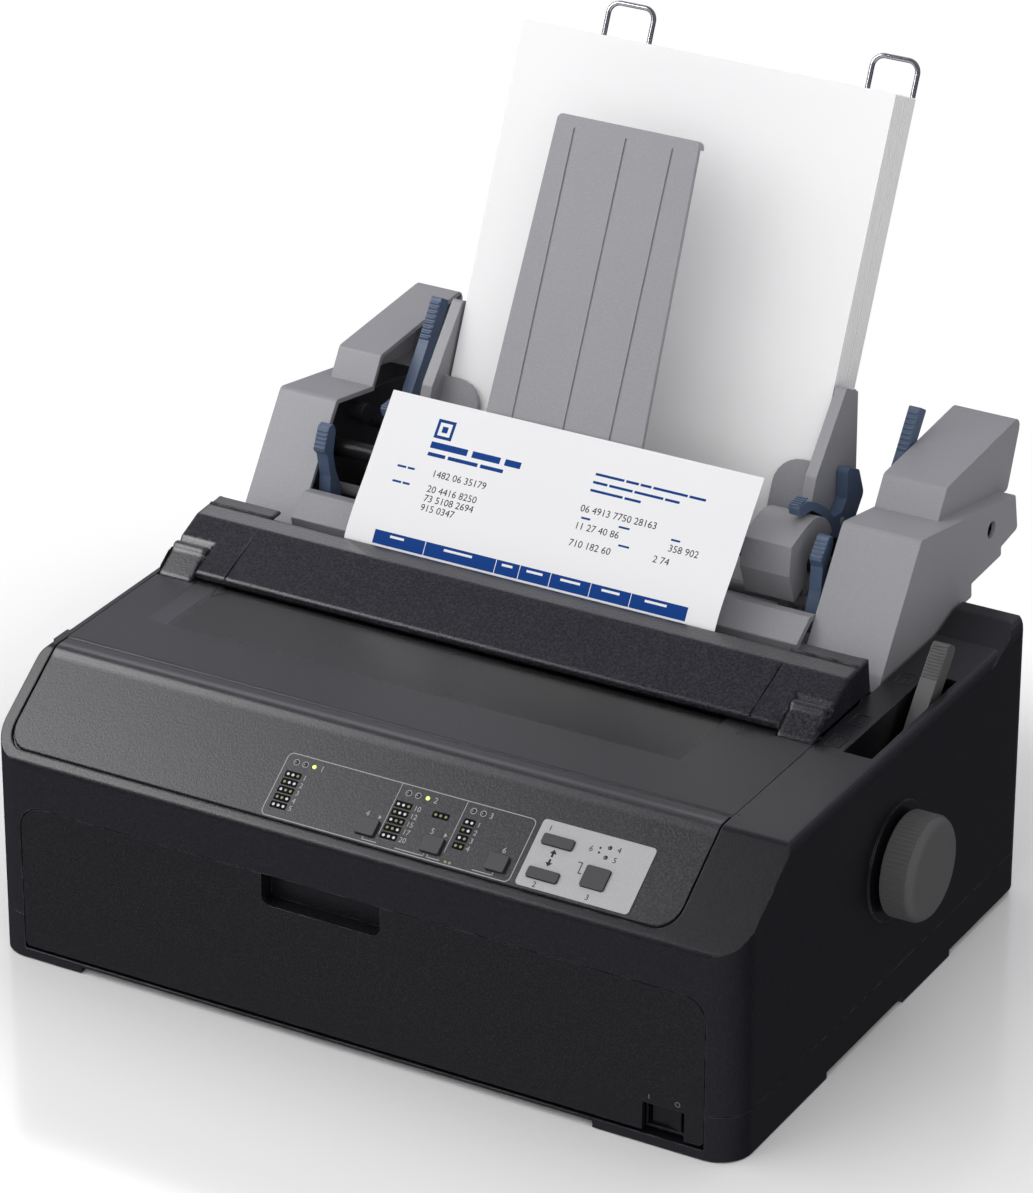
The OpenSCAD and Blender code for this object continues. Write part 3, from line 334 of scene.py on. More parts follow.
class Graph:
    """A node tree being wired."""

    def __init__(self, tree: bpy.types.NodeTree) -> None:
        """Keeps the tree."""
        self.tree = tree

    def add(self, kind: str, inputs: dict | None = None, **settings: object) -> bpy.types.Node:
        """Adds a node.

        Args:
            kind: Its full type name.
            inputs: Values, or sockets to link from, by input name or number.
            settings: Properties of the node, set before its inputs.

        Returns:
            The node.
        """
        made = self.tree.nodes.new(kind)
        for key, value in settings.items():
            setattr(made, key, value)
        for key, value in (inputs or {}).items():
            if isinstance(value, bpy.types.NodeSocket):
                self.link(value, made.inputs[key])
            else:
                made.inputs[key].default_value = value
        return made

    def link(self, source: bpy.types.NodeSocket, target: bpy.types.NodeSocket) -> None:
        """Links two sockets."""
        self.tree.links.new(source, target)

    def node(self, kind: str, inputs: dict | None = None, **settings: object) -> bpy.types.Node:
        """Adds a shader node, whose type is given without the ShaderNode in front."""
        return self.add("ShaderNode" + kind, inputs, **settings)

    def group(self, tree: bpy.types.NodeTree, inputs: dict) -> bpy.types.Node:
        """Places a node group with its values."""
        return self.node("Group", inputs, node_tree=tree)

    def math(self, operation: str, *values: object) -> bpy.types.NodeSocket:
        """Adds a Math node and gives its output."""
        return self.node("Math", dict(enumerate(values)), operation=operation).outputs[0]

    def mix(self, share: object, first: object, second: object) -> bpy.types.NodeSocket:
        """Adds a mix of two numbers and gives its output."""
        return self.node("Mix", {0: share, 2: first, 3: second}, data_type="FLOAT").outputs[0]

    def mix_colours(self, share: object, first: object, second: object) -> bpy.types.NodeSocket:
        """Adds a mix of two colours and gives its output."""
        return self.node("Mix", {0: share, 6: first, 7: second}, data_type="RGBA").outputs[2]

    def range(self, value: object, lows: tuple[float, float], highs: tuple[float, float],
              curve: str = "LINEAR") -> bpy.types.NodeSocket:
        """Adds a Map Range node.

        Args:
            value: The number that it maps.
            lows: Where the range starts, and what it gives there.
            highs: Where the range ends, and what it gives there.
            curve: How it runs between them.

        Returns:
            Its output.
        """
        return self.node("MapRange", {0: value, 1: lows[0], 2: highs[0], 3: lows[1], 4: highs[1]},
                         interpolation_type=curve).outputs[0]

    def object_place(self) -> bpy.types.NodeSocket:
        """The place on the piece, in metres of the frame."""
        return self.node("TexCoord").outputs["Object"]


class Effect(Enum):
    """Effects that several finishes share, each one a node group."""

    GRAIN = "moulded_grain"
    TONE = "tone_drift"
    EDGE = "softened_edge"
    BRUSH = "brushed_lines"
    FIBRE = "paper_fibre"
    ZONE = "zone_mask"
    # painted shade in narrow gaps and grooves, found by ambient occlusion
    CREVICE = "crevice_mask"


class Effects:
    """Builds each shared node group once."""

    def __init__(self) -> None:
        """Builds every group."""
        self.trees = {
            Effect.GRAIN: self.grain(),
            Effect.TONE: self.tone(),
            Effect.EDGE: self.edge(),
            Effect.BRUSH: self.brush(),
            Effect.FIBRE: self.fibre(),
            Effect.ZONE: self.zone(),
            Effect.CREVICE: self.crevice(),
        }

    def __getitem__(self, effect: Effect) -> bpy.types.NodeTree:
        """The node group of an effect."""
        return self.trees[effect]

    @staticmethod
    def start(effect: Effect, inputs: dict[str, object], outputs: dict[str, str]) -> tuple:
        """Starts a node group.

        Args:
            effect: Which effect it is.
            inputs: Its inputs with their first values; a tuple is a colour.
            outputs: Its outputs with "Float", "Color" or "Vector".

        Returns:
            The graph, the group input node and the group output node.
        """
        tree = bpy.data.node_groups.new(effect.value, "ShaderNodeTree")
        for name, value in inputs.items():
            kind = "NodeSocketColor" if isinstance(value, tuple) else "NodeSocketFloat"
            socket = tree.interface.new_socket(name=name, in_out="INPUT", socket_type=kind)
            socket.default_value = value
        for name, kind in outputs.items():
            tree.interface.new_socket(name=name, in_out="OUTPUT", socket_type="NodeSocket" + kind)
        return Graph(tree), tree.nodes.new("NodeGroupInput"), tree.nodes.new("NodeGroupOutput")

    def grain(self) -> bpy.types.NodeTree:
        """Spark-eroded grain: rounded pits over a finer noise, Pitch in millimetres.

        Returns:
            The node group.
        """
        g, given, out = self.start(Effect.GRAIN, {"Pitch": 0.7, "Fine Share": 0.4},
                                   {"Height": "Float", "Mask": "Float"})
        scale = g.math("DIVIDE", 1 / MM, given.outputs["Pitch"])
        place = g.object_place()
        pits = g.node("TexVoronoi", {"Vector": place, "Scale": scale, "Smoothness": 0.7},
                      feature="SMOOTH_F1")
        noise = g.node("TexNoise", {"Vector": place, "Scale": g.math("MULTIPLY", scale, 1.7),
                                    "Detail": 3.0, "Roughness": 0.6})
        height = g.mix(given.outputs["Fine Share"], pits.outputs["Distance"], noise.outputs[0])
        g.link(height, out.inputs["Height"])
        g.link(g.range(height, (0.3, 0), (0.7, 1)), out.inputs["Mask"])
        return g.tree

    def tone(self) -> bpy.types.NodeTree:
        """Slow drift of a colour's lightness over the moulding, Span in millimetres.

        Returns:
            The node group.
        """
        g, given, out = self.start(Effect.TONE, {"Colour": (0.5, 0.5, 0.5, 1.0), "Amount": 0.06,
                                                 "Span": 60.0}, {"Colour": "Color"})
        scale = g.math("DIVIDE", 1 / MM, given.outputs["Span"])
        noise = g.node("TexNoise", {"Vector": g.object_place(), "Scale": scale, "Detail": 4.0})
        swing = g.math("MULTIPLY", g.math("SUBTRACT", noise.outputs[0], 0.5),
                       g.math("MULTIPLY", given.outputs["Amount"], 2.0))
        value = g.node("HueSaturation", {"Color": given.outputs["Colour"],
                                         "Value": g.math("ADD", swing, 1.0)})
        g.link(value.outputs[0], out.inputs["Colour"])
        return g.tree

    def edge(self) -> bpy.types.NodeTree:
        """Softens the edges in the normal and gives a mask of them, Radius in millimetres.

        Returns:
            The node group.
        """
        g, given, out = self.start(Effect.EDGE, {"Radius": 0.5, "Wear": 0.3},
                                   {"Normal": "Vector", "Mask": "Float"})
        round_edge = g.node("Bevel", {"Radius": g.math("MULTIPLY", given.outputs["Radius"], MM)},
                            samples=4)
        flat = g.node("NewGeometry").outputs["Normal"]
        along = g.node("VectorMath", {0: round_edge.outputs[0], 1: flat}, operation="DOT_PRODUCT")
        bent = g.math("SUBTRACT", 1.0, along.outputs["Value"])
        patch = g.node("TexNoise", {"Vector": g.object_place(), "Scale": 120.0, "Detail": 5.0})
        rubbed = g.range(patch.outputs[0], (0.4, 0), (0.62, 1))
        worn = g.math("MULTIPLY", g.math("MULTIPLY", bent, 4.0), rubbed)
        mask = g.node("Math", {0: worn, 1: given.outputs["Wear"]}, operation="MULTIPLY",
                      use_clamp=True)
        g.link(round_edge.outputs[0], out.inputs["Normal"])
        g.link(mask.outputs[0], out.inputs["Mask"])
        return g.tree

    def brush(self) -> bpy.types.NodeTree:
        """Drawn or ground lines that run along X.

        Returns:
            The node group.
        """
        g, given, out = self.start(Effect.BRUSH, {"Lines": 900.0, "Stretch": 0.03},
                                   {"Height": "Float", "Mask": "Float"})
        axes = g.node("SeparateXYZ", {0: g.object_place()})
        pulled = g.node("CombineXYZ", {0: g.math("MULTIPLY", axes.outputs[0], given.outputs["Stretch"]),
                                       1: axes.outputs[1], 2: axes.outputs[2]})
        noise = g.node("TexNoise", {"Vector": pulled.outputs[0], "Scale": given.outputs["Lines"],
                                    "Detail": 2.0})
        g.link(noise.outputs[0], out.inputs["Height"])
        g.link(noise.outputs[0], out.inputs["Mask"])
        return g.tree

    def fibre(self) -> bpy.types.NodeTree:
        """Felted fibres of paper, Pitch in millimetres.

        Returns:
            The node group.
        """
        g, given, out = self.start(Effect.FIBRE, {"Pitch": 0.5}, {"Height": "Float",
                                                                 "Mask": "Float"})
        scale = g.math("DIVIDE", 1 / MM, given.outputs["Pitch"])
        noise = g.node("TexNoise", {"Vector": g.object_place(), "Scale": scale, "Detail": 5.0,
                                    "Roughness": 0.7, "Distortion": 1.2})
        cloud = g.node("TexNoise", {"Vector": g.object_place(), "Scale": g.math("MULTIPLY", scale,
                                                                               0.05)})
        g.link(noise.outputs[0], out.inputs["Height"])
        g.link(cloud.outputs[0], out.inputs["Mask"])
        return g.tree

    def zone(self) -> bpy.types.NodeTree:
        """A mask that is 1 inside a rectangle seen from above, with a soft rim; millimetres.

        Returns:
            The node group.
        """
        g, given, out = self.start(Effect.ZONE, {"Left": 0.0, "Right": 1.0, "Front": 0.0,
                                                 "Rear": 1.0, "Rim": 0.6}, {"Mask": "Float"})
        axes = g.node("SeparateXYZ", {0: g.object_place()})
        masks = []
        for axis, low, high in ((0, "Left", "Right"), (1, "Front", "Rear")):
            at = g.math("DIVIDE", axes.outputs[axis], MM)
            rise = g.math("DIVIDE", g.math("SUBTRACT", at, given.outputs[low]),
                          given.outputs["Rim"])
            fall = g.math("DIVIDE", g.math("SUBTRACT", given.outputs[high], at),
                          given.outputs["Rim"])
            masks.append(g.node("Math", {0: g.math("MINIMUM", rise, fall), 1: 0.0},
                                operation="ADD", use_clamp=True).outputs[0])
        g.link(g.math("MULTIPLY", *masks), out.inputs["Mask"])
        return g.tree

    def crevice(self) -> bpy.types.NodeTree:
        """Painted shade: a mask from ambient occlusion that rises to 1 inside narrow gaps and grooves,
        where shade falls, Reach in millimetres.

        Returns:
            The node group.
        """
        g, given, out = self.start(Effect.CREVICE, {"Reach": 2.5}, {"Mask": "Float"})
        hidden = g.node("AmbientOcclusion", {"Distance": g.math("MULTIPLY", given.outputs["Reach"],
                                                                MM)}, samples=6)
        g.link(g.range(hidden.outputs["AO"], (0.5, 0), (0.2, 1)), out.inputs["Mask"])
        return g.tree


# ---------------------------------------------------------------- finishes


def zone_mask(g: Graph, effects: Effects, zone: Zone, rim: float = 0.6) -> bpy.types.NodeSocket:
    """The mask of a rectangle: left, right, front and rear in millimetres of the frame."""
    sides = dict(zip(("Left", "Right", "Front", "Rear"), zone))
    return g.group(effects[Effect.ZONE], {**sides, "Rim": rim}).outputs[0]


def specked(g: Graph, colour: bpy.types.NodeSocket, mask: bpy.types.NodeSocket,
            speck: float) -> bpy.types.NodeSocket:
    """A colour that a mask makes lighter and darker by a share."""
    value = g.math("MULTIPLY_ADD", mask, 2 * speck, 1 - speck)
    return g.node("HueSaturation", {"Color": colour, "Value": value}).outputs[0]


def bump(g: Graph, depth: float, height: bpy.types.NodeSocket,
         normal: bpy.types.NodeSocket) -> bpy.types.NodeSocket:
    """The normal over a height, depth in millimetres."""
    return g.node("Bump", {"Strength": 1.0, "Distance": depth * MM, "Height": height,
                           "Normal": normal}).outputs[0]


@dataclass(frozen=True)
class Finish:
    """A finish of the printer, made as a material with one Principled shader."""

    def build(self, name: str, effects: Effects) -> bpy.types.Material:
        """Makes the material.

        Args:
            name: Its name.
            effects: The shared node groups.

        Returns:
            The material.
        """
        material = bpy.data.materials.new(name)
        material.use_nodes = True
        shader = material.node_tree.nodes["Principled BSDF"]
        self.wire(Graph(material.node_tree), effects, shader.inputs)
        return material

    def wire(self, g: Graph, effects: Effects, skin: bpy.types.NodeInputs) -> None:
        """Wires the material.

        Args:
            g: Its nodes.
            effects: The shared node groups.
            skin: The inputs of its shader.
        """
        raise NotImplementedError


@dataclass(frozen=True)
class Moulded(Finish):
    """Injection-moulded plastic or rubber, with spark-eroded grain and softened edges.

    Colours are 0-255 screen values, lengths are millimetres. Gaps paints shade into narrow gaps and
    grooves, found by ambient occlusion, and lets the surface have a coat, and crest is a rectangle of the
    frame where the coat is full.
    """

    colour: Rgb
    roughness: float = 0.5
    roughness_swing: float = 0.06
    grain: float = 0.7
    depth: float = 0.02
    fine: float = 0.4
    drift: float = 0.05
    edge: float = 0.5
    wear: float = 0.25
    speck: float = 0.08
    coat: float = 0.0
    coat_roughness: float = 0.2
    crest: Zone | None = None
    crest_rim: float = 2.0
    gaps: bool = False
    worn_colour: Rgb = (120, 120, 122)

    def wire(self, g: Graph, effects: Effects, skin: bpy.types.NodeInputs) -> None:
        """Wires the grain, the drift, the worn edges and the gaps.

        Args:
            g: The material's nodes.
            effects: The shared node groups.
            skin: The inputs of its shader.
        """
        tone = g.group(effects[Effect.TONE], {"Colour": linear(self.colour), "Amount": self.drift})
        edge = g.group(effects[Effect.EDGE], {"Radius": self.edge, "Wear": self.wear})
        grain = g.group(effects[Effect.GRAIN], {"Pitch": self.grain, "Fine Share": self.fine})
        colour = specked(g, tone.outputs[0], grain.outputs["Mask"], self.speck)
        colour = g.mix_colours(edge.outputs["Mask"], colour, linear(self.worn_colour))
        rough = g.range(grain.outputs["Mask"], (0, self.roughness - self.roughness_swing),
                        (1, self.roughness + self.roughness_swing))
        # painted shade: ambient occlusion darkens narrow gaps and grooves, makes them matt and takes the
        # coat off them
        if self.gaps:
            gap = g.group(effects[Effect.CREVICE], {}).outputs[0]
            colour = g.mix_colours(gap, colour, linear(GAP_SHADE_COLOUR))
            rough = g.mix(gap, rough, 1.0)
            self.cover(g, effects, gap, skin)
        g.link(colour, skin["Base Color"])
        g.link(rough, skin["Roughness"])
        g.link(bump(g, self.depth, grain.outputs["Height"], edge.outputs["Normal"]), skin["Normal"])

    def cover(self, g: Graph, effects: Effects, gap: bpy.types.NodeSocket,
              skin: bpy.types.NodeInputs) -> None:
        """Wires the coat, which lies smooth over the grain and leaves out the gaps where shade is
        painted.

        Args:
            g: The material's nodes.
            effects: The shared node groups.
            gap: The mask of the gaps where shade is painted.
            skin: The inputs of its shader.
        """
        coat = self.coat
        if self.crest:
            coat = g.mix(zone_mask(g, effects, self.crest, self.crest_rim), coat, 1.0)
        g.link(g.mix(gap, coat, 0.0), skin["Coat Weight"])
        soft = g.node("Bevel", {"Radius": self.edge * MM}, samples=4)
        g.link(soft.outputs[0], skin["Coat Normal"])
        skin["Coat Roughness"].default_value = self.coat_roughness


@dataclass(frozen=True)
class Metal(Finish):
    """Drawn, ground or plated metal, with lines along X and softened edges."""

    colour: Rgb
    roughness: float = 0.3
    swing: float = 0.12
    lines: float = 2500
    stretch: float = 0.03
    depth: float = 0.004
    edge: float = 0.25

    def wire(self, g: Graph, effects: Effects, skin: bpy.types.NodeInputs) -> None:
        """Wires the lines and the drift of the tone.

        Args:
            g: The material's nodes.
            effects: The shared node groups.
            skin: The inputs of its shader.
        """
        brush = g.group(effects[Effect.BRUSH], {"Lines": self.lines, "Stretch": self.stretch})
        edge = g.group(effects[Effect.EDGE], {"Radius": self.edge, "Wear": 0.0})
        tone = g.group(effects[Effect.TONE], {"Colour": linear(self.colour), "Amount": 0.08,
                                              "Span": 25.0})
        rough = g.range(brush.outputs["Mask"], (0.3, self.roughness - self.swing),
                        (0.7, self.roughness + self.swing))
        g.link(tone.outputs[0], skin["Base Color"])
        g.link(rough, skin["Roughness"])
        g.link(bump(g, self.depth, brush.outputs["Height"], edge.outputs["Normal"]), skin["Normal"])
        skin["Metallic"].default_value = 1.0


@dataclass(frozen=True)
class Smoked(Finish):
    """Smoked clear plastic with a satin outside, a darker pane and a paler strip beside it."""

    colour: Rgb
    pane_colour: Rgb
    strip_colour: Rgb
    pane: Zone
    strip: Zone
    roughness: float = 0.4
    pane_roughness: float = 0.26
    pane_grain: float = 0.1
    coat: float = 0.4
    ior: float = 1.49
    grain: float = 0.8
    depth: float = 0.03
    speck: float = 0.15

    def wire(self, g: Graph, effects: Effects, skin: bpy.types.NodeInputs) -> None:
        """Wires the pane, the strip and the satin face round them.

        Args:
            g: The material's nodes.
            effects: The shared node groups.
            skin: The inputs of its shader.
        """
        grain = g.group(effects[Effect.GRAIN], {"Pitch": self.grain, "Fine Share": 0.7})
        edge = g.group(effects[Effect.EDGE], {"Radius": 0.4, "Wear": 0.0})
        pane = zone_mask(g, effects, self.pane)
        colour = g.mix_colours(pane, linear(self.colour), linear(self.pane_colour))
        colour = g.mix_colours(zone_mask(g, effects, self.strip), colour,
                               linear(self.strip_colour))
        tone = g.group(effects[Effect.TONE], {"Colour": colour, "Amount": 0.04})
        share = g.math("MULTIPLY_ADD", pane, self.pane_grain - 1, 1.0)
        height = g.math("MULTIPLY", g.math("SUBTRACT", grain.outputs["Height"], 0.5), share)
        g.link(specked(g, tone.outputs[0], grain.outputs["Mask"], self.speck), skin["Base Color"])
        g.link(g.range(pane, (0, self.roughness), (1, self.pane_roughness)), skin["Roughness"])
        g.link(g.range(pane, (0, self.coat), (1, 0)), skin["Coat Weight"])
        g.link(bump(g, self.depth, height, edge.outputs["Normal"]), skin["Normal"])
        skin["Coat Roughness"].default_value = self.roughness
        skin["Transmission Weight"].default_value = 1.0
        skin["IOR"].default_value = self.ior


@dataclass(frozen=True)
class Lens(Finish):
    """Small light lens, dark or lit."""

    colour: Rgb
    glow: float = 0.0

    def wire(self, g: Graph, effects: Effects, skin: bpy.types.NodeInputs) -> None:
        """Wires the tone, and the glow of a lit lens.

        Args:
            g: The material's nodes.
            effects: The shared node groups.
            skin: The inputs of its shader.
        """
        tone = g.group(effects[Effect.TONE], {"Colour": linear(self.colour), "Amount": 0.2,
                                              "Span": 1.5})
        g.link(tone.outputs[0], skin["Base Color"])
        skin["Roughness"].default_value = 0.15
        skin["Coat Weight"].default_value = 0.6
        if self.glow:
            g.link(tone.outputs[0], skin["Emission Color"])
            skin["Emission Strength"].default_value = self.glow


@dataclass(frozen=True)
class Ink(Finish):
    """Printed ink: flat, a little uneven in tone."""

    colour: Rgb
    roughness: float = 0.6
    specular: float = 0.5

    def wire(self, g: Graph, effects: Effects, skin: bpy.types.NodeInputs) -> None:
        """Wires the uneven tone.

        Args:
            g: The material's nodes.
            effects: The shared node groups.
            skin: The inputs of its shader.
        """
        tone = g.group(effects[Effect.TONE], {"Colour": linear(self.colour), "Amount": 0.1,
                                              "Span": 0.8})
        g.link(tone.outputs[0], skin["Base Color"])
        skin["Roughness"].default_value = self.roughness
        skin["Specular IOR Level"].default_value = self.specular


@dataclass(frozen=True)
class Paper(Finish):
    """Uncoated office paper. Where leaf is set, its edges show single leaves that thick, with painted
    shade in the lines between them.

    Leaf is in millimetres, and lean is how far the leaves lean back, in degrees.
    """

    colour: Rgb
    leaf: float = 0.0
    lean: float = 0.0
    # colour of the painted shade between the leaves
    shade: Rgb = (150, 150, 152)
    shade_share: float = 0.6

    def wire(self, g: Graph, effects: Effects, skin: bpy.types.NodeInputs) -> None:
        """Wires the fibres and, for a stack, the leaves.

        Args:
            g: The material's nodes.
            effects: The shared node groups.
            skin: The inputs of its shader.
        """
        fibre = g.group(effects[Effect.FIBRE], {"Pitch": 0.45})
        tone = g.group(effects[Effect.TONE], {"Colour": linear(self.colour), "Amount": 0.015})
        colour = tone.outputs[0]
        if self.leaf:
            # painted shade: the lines between the leaves on the stack's edges are darkened towards the
            # shade colour
            colour = g.mix_colours(g.math("MULTIPLY", self.leaves(g), self.shade_share), colour,
                                   linear(self.shade))
        height = g.node("Bump", {"Strength": 1.0, "Distance": 0.01 * MM,
                                 "Height": fibre.outputs["Height"]})
        g.link(colour, skin["Base Color"])
        g.link(height.outputs[0], skin["Normal"])
        skin["Roughness"].default_value = 0.85
        skin["Specular IOR Level"].default_value = 0.25

    def leaves(self, g: Graph) -> bpy.types.NodeSocket:
        """The mask of the painted shade in the gaps between the leaves, which is 0 on their flat faces.

        Args:
            g: The material's nodes.

        Returns:
            The mask.
        """
        lean = math.radians(self.lean)
        through = (0, math.cos(lean), -math.sin(lean))
        depth = g.node("VectorMath", {0: g.object_place(), 1: through}, operation="DOT_PRODUCT")
        leaves = g.node("TexNoise", {"W": depth.outputs["Value"], "Scale": 1 / (self.leaf * MM),
                                     "Detail": 2.0, "Roughness": 0.8}, noise_dimensions="1D")
        facing = g.node("VectorMath", {0: g.node("NewGeometry").outputs["Normal"], 1: through},
                        operation="DOT_PRODUCT")
        side = g.math("SUBTRACT", 1.0, g.math("ABSOLUTE", facing.outputs["Value"]))
        return g.math("MULTIPLY", g.range(leaves.outputs[0], (0.35, 1), (0.6, 0)), side)


@dataclass(frozen=True)
class Board(Finish):
    """Circuit board: solder mask with lighter copper runs."""

    mask: Rgb = (24, 74, 44)
    run: Rgb = (46, 112, 62)

    def wire(self, g: Graph, effects: Effects, skin: bpy.types.NodeInputs) -> None:
        """Wires the copper runs.

        Args:
            g: The material's nodes.
            effects: The shared node groups.
            skin: The inputs of its shader.
        """
        runs = g.node("TexBrick", {"Vector": g.object_place(), "Color1": linear(self.mask),
                                   "Color2": linear(self.mask), "Mortar": linear(self.run),
                                   "Scale": 220.0, "Mortar Size": 0.06}, offset=0.3)
        edge = g.group(effects[Effect.EDGE], {"Radius": 0.2, "Wear": 0.0})
        g.link(runs.outputs[0], skin["Base Color"])
        g.link(edge.outputs["Normal"], skin["Normal"])
        skin["Roughness"].default_value = 0.35


class Surface(Enum):
    """Every finish of the printer."""

    # gaps=True paints shade into the narrow gaps and grooves of a finish
    CASE = Moulded((16, 16, 22), roughness=0.36, grain=0.9, depth=0.05, speck=0.6, edge=1.0,
                   coat=0.25, gaps=True)
    PANEL = Moulded((38, 38, 42), roughness=0.38, grain=0.95, depth=0.09, edge=0.8, speck=0.7,
                    coat=0.2, coat_roughness=0.3, crest=(-215, 215, -158, -147), gaps=True)
    DOOR = Moulded((20, 20, 23), roughness=0.42, grain=0.9, depth=0.05, speck=0.6, gaps=True)
    HUMP = Moulded((20, 20, 29), roughness=0.36, grain=1.15, depth=0.12, fine=0.2, edge=2.2,
                   speck=1.0, coat=1.0, gaps=True)
    WINDOW = Smoked((55, 55, 71), pane_colour=(12, 12, 24), strip_colour=(122, 122, 138),
                    pane=(-172.3, 110.5, -106, -55), strip=(-187, -174.6, -106, -55))
    BUTTON = Moulded((58, 58, 60), roughness=0.5, grain=0.4, depth=0.01, edge=0.5)
    PLATE = Moulded((160, 160, 163), roughness=0.4, grain=0.5, depth=0.008, edge=0.15, wear=0.0)
    BLACK = Moulded((18, 18, 20), roughness=0.4, grain=0.9, depth=0.012)
    GREY_LEVER = Moulded((82, 82, 82), roughness=0.48, grain=0.5, depth=0.012)
    KNOB = Moulded((82, 82, 83), roughness=0.5, grain=0.5, depth=0.006, edge=0.35)
    BLUE_LEVER = Moulded((78, 94, 120), roughness=0.42, grain=0.6, depth=0.012,
                         worn_colour=(140, 152, 174))
    FEEDER = Moulded((140, 140, 145), roughness=0.42, grain=0.55, depth=0.012, drift=0.02,
                     edge=0.7, worn_colour=(205, 205, 208))
    STACKER = Moulded((143, 143, 148), roughness=0.5, grain=0.7, depth=0.015, drift=0.02,
                      worn_colour=(190, 190, 194))
    FEEDER_DARK = Moulded((26, 26, 28), roughness=0.45, grain=0.8, depth=0.012)
    FOOT = Moulded((38, 38, 40), roughness=0.85, grain=0.4, depth=0.03, wear=0.0)
    PLATEN = Moulded((26, 26, 27), roughness=0.62, grain=0.25, depth=0.008, wear=0.0)
    ROLLER = Moulded((52, 52, 54), roughness=0.8, grain=0.35, depth=0.03, wear=0.0)
    BELT = Moulded((20, 20, 21), roughness=0.75, grain=0.3, depth=0.02, wear=0.0)
    GEAR = Moulded((226, 222, 208), roughness=0.4, grain=0.5, depth=0.006, wear=0.0)
    SHEET_STEEL = Metal((186, 190, 194), roughness=0.36, lines=1600, stretch=0.2)
    BRIGHT_STEEL = Metal((214, 216, 220), roughness=0.14, swing=0.05)
    SCREW_STEEL = Metal((120, 122, 126), roughness=0.3)
    MOTOR = Metal((150, 153, 156), roughness=0.34, lines=1200, stretch=1.0)
    SUPPLY = Metal((168, 174, 178), roughness=0.4, lines=1400, stretch=0.3)
    HEAD = Metal((112, 116, 120), roughness=0.42, lines=1800, stretch=1.0)
    BRASS = Metal((212, 172, 88), roughness=0.26)
    BOARD = Board()
    COPY_PAPER = Paper((238, 238, 239), leaf=0.22, lean=Layout.lean)
    FORM_PAPER = Paper((226, 226, 228))
    LENS_DARK = Lens((52, 54, 50))
    LENS_LIT = Lens((214, 236, 120), glow=0.85)
    WHITE_INK = Ink((196, 197, 198))
    GREY_INK = Ink((150, 151, 153))
    OLIVE_INK = Ink((126, 132, 92))
    DARK_INK = Ink((14, 14, 15), roughness=0.9, specular=0.15)
    MARK_INK = Ink((96, 97, 99))
    PLATE_INK = Ink((44, 44, 46), specular=0.2)
    BLUE_INK = Ink((0, 56, 128), roughness=0.6, specular=0.1)
    BLACK_INK = Ink((22, 22, 26), roughness=0.6, specular=0.1)


@dataclass
class Palette:
    """Builds each finish the first time that it is asked for."""

    effects: Effects
    made: dict[Surface, bpy.types.Material] = field(default_factory=dict)

    def __getitem__(self, surface: Surface) -> bpy.types.Material:
        """The material of a finish, made at the first call."""
        if surface not in self.made:
            self.made[surface] = surface.value.build(surface.name.lower(), self.effects)
        return self.made[surface]


# ---------------------------------------------------------------- sub-assemblies


@dataclass
class RoundEdges:
    """Modifiers that shade the narrow facets of a rounded edge as one curve.

    Angles are degrees and lengths are metres.
    """

    sharp_from: float = 14
    weld: float = 2e-6
    flat_within: float = 0.5
    rounded_from: float = 16
    segments: int = 4
    tree: bpy.types.NodeTree = field(init=False)

    def __post_init__(self) -> None:
        """Builds the node tree, which leaves only the sharper edges sharp."""
        self.tree = bpy.data.node_groups.new("round_edges", "GeometryNodeTree")
        for way in ("INPUT", "OUTPUT"):
            self.tree.interface.new_socket("Geometry", in_out=way,
                                           socket_type="NodeSocketGeometry")
        g = Graph(self.tree)
        turned = g.add("FunctionNodeCompare", {1: math.radians(self.sharp_from)},
                       data_type="FLOAT", operation="GREATER_THAN")
        g.link(g.add("GeometryNodeInputMeshEdgeAngle").outputs["Unsigned Angle"], turned.inputs[0])
        sharpened = g.add("GeometryNodeSetShadeSmooth", {"Shade Smooth": False}, domain="EDGE")
        g.link(turned.outputs[0], sharpened.inputs["Selection"])
        steps = (g.add("NodeGroupInput"),
                 g.add("GeometryNodeRemoveAttribute", {"Name": "custom_normal"}),
                 g.add("GeometryNodeMergeByDistance", {"Distance": self.weld}),
                 g.add("GeometryNodeSetShadeSmooth", {"Shade Smooth": True}, domain="FACE"),
                 sharpened,
                 g.add("NodeGroupOutput"))
        for one, following in zip(steps, steps[1:]):
            g.link(one.outputs[0], following.inputs[0])

    def on(self, piece: bpy.types.Object, radius: float = 0) -> None:
        """Puts the modifiers on a piece.

        Args:
            piece: The piece.
            radius: How far its sharp edges are rounded, in millimetres.
        """
        piece.modifiers.new("round_edges", "NODES").node_group = self.tree
        if radius:
            whole = piece.modifiers.new("whole_faces", "DECIMATE")
            whole.decimate_type, whole.angle_limit = "DISSOLVE", math.radians(self.flat_within)
            bevel = piece.modifiers.new("rounding", "BEVEL")
            bevel.width, bevel.segments = radius * MM, self.segments
            bevel.limit_method, bevel.angle_limit = "ANGLE", math.radians(self.rounded_from)
            bevel.use_clamp_overlap = False
        piece.modifiers.new("even_faces", "WEIGHTED_NORMAL").keep_sharp = True


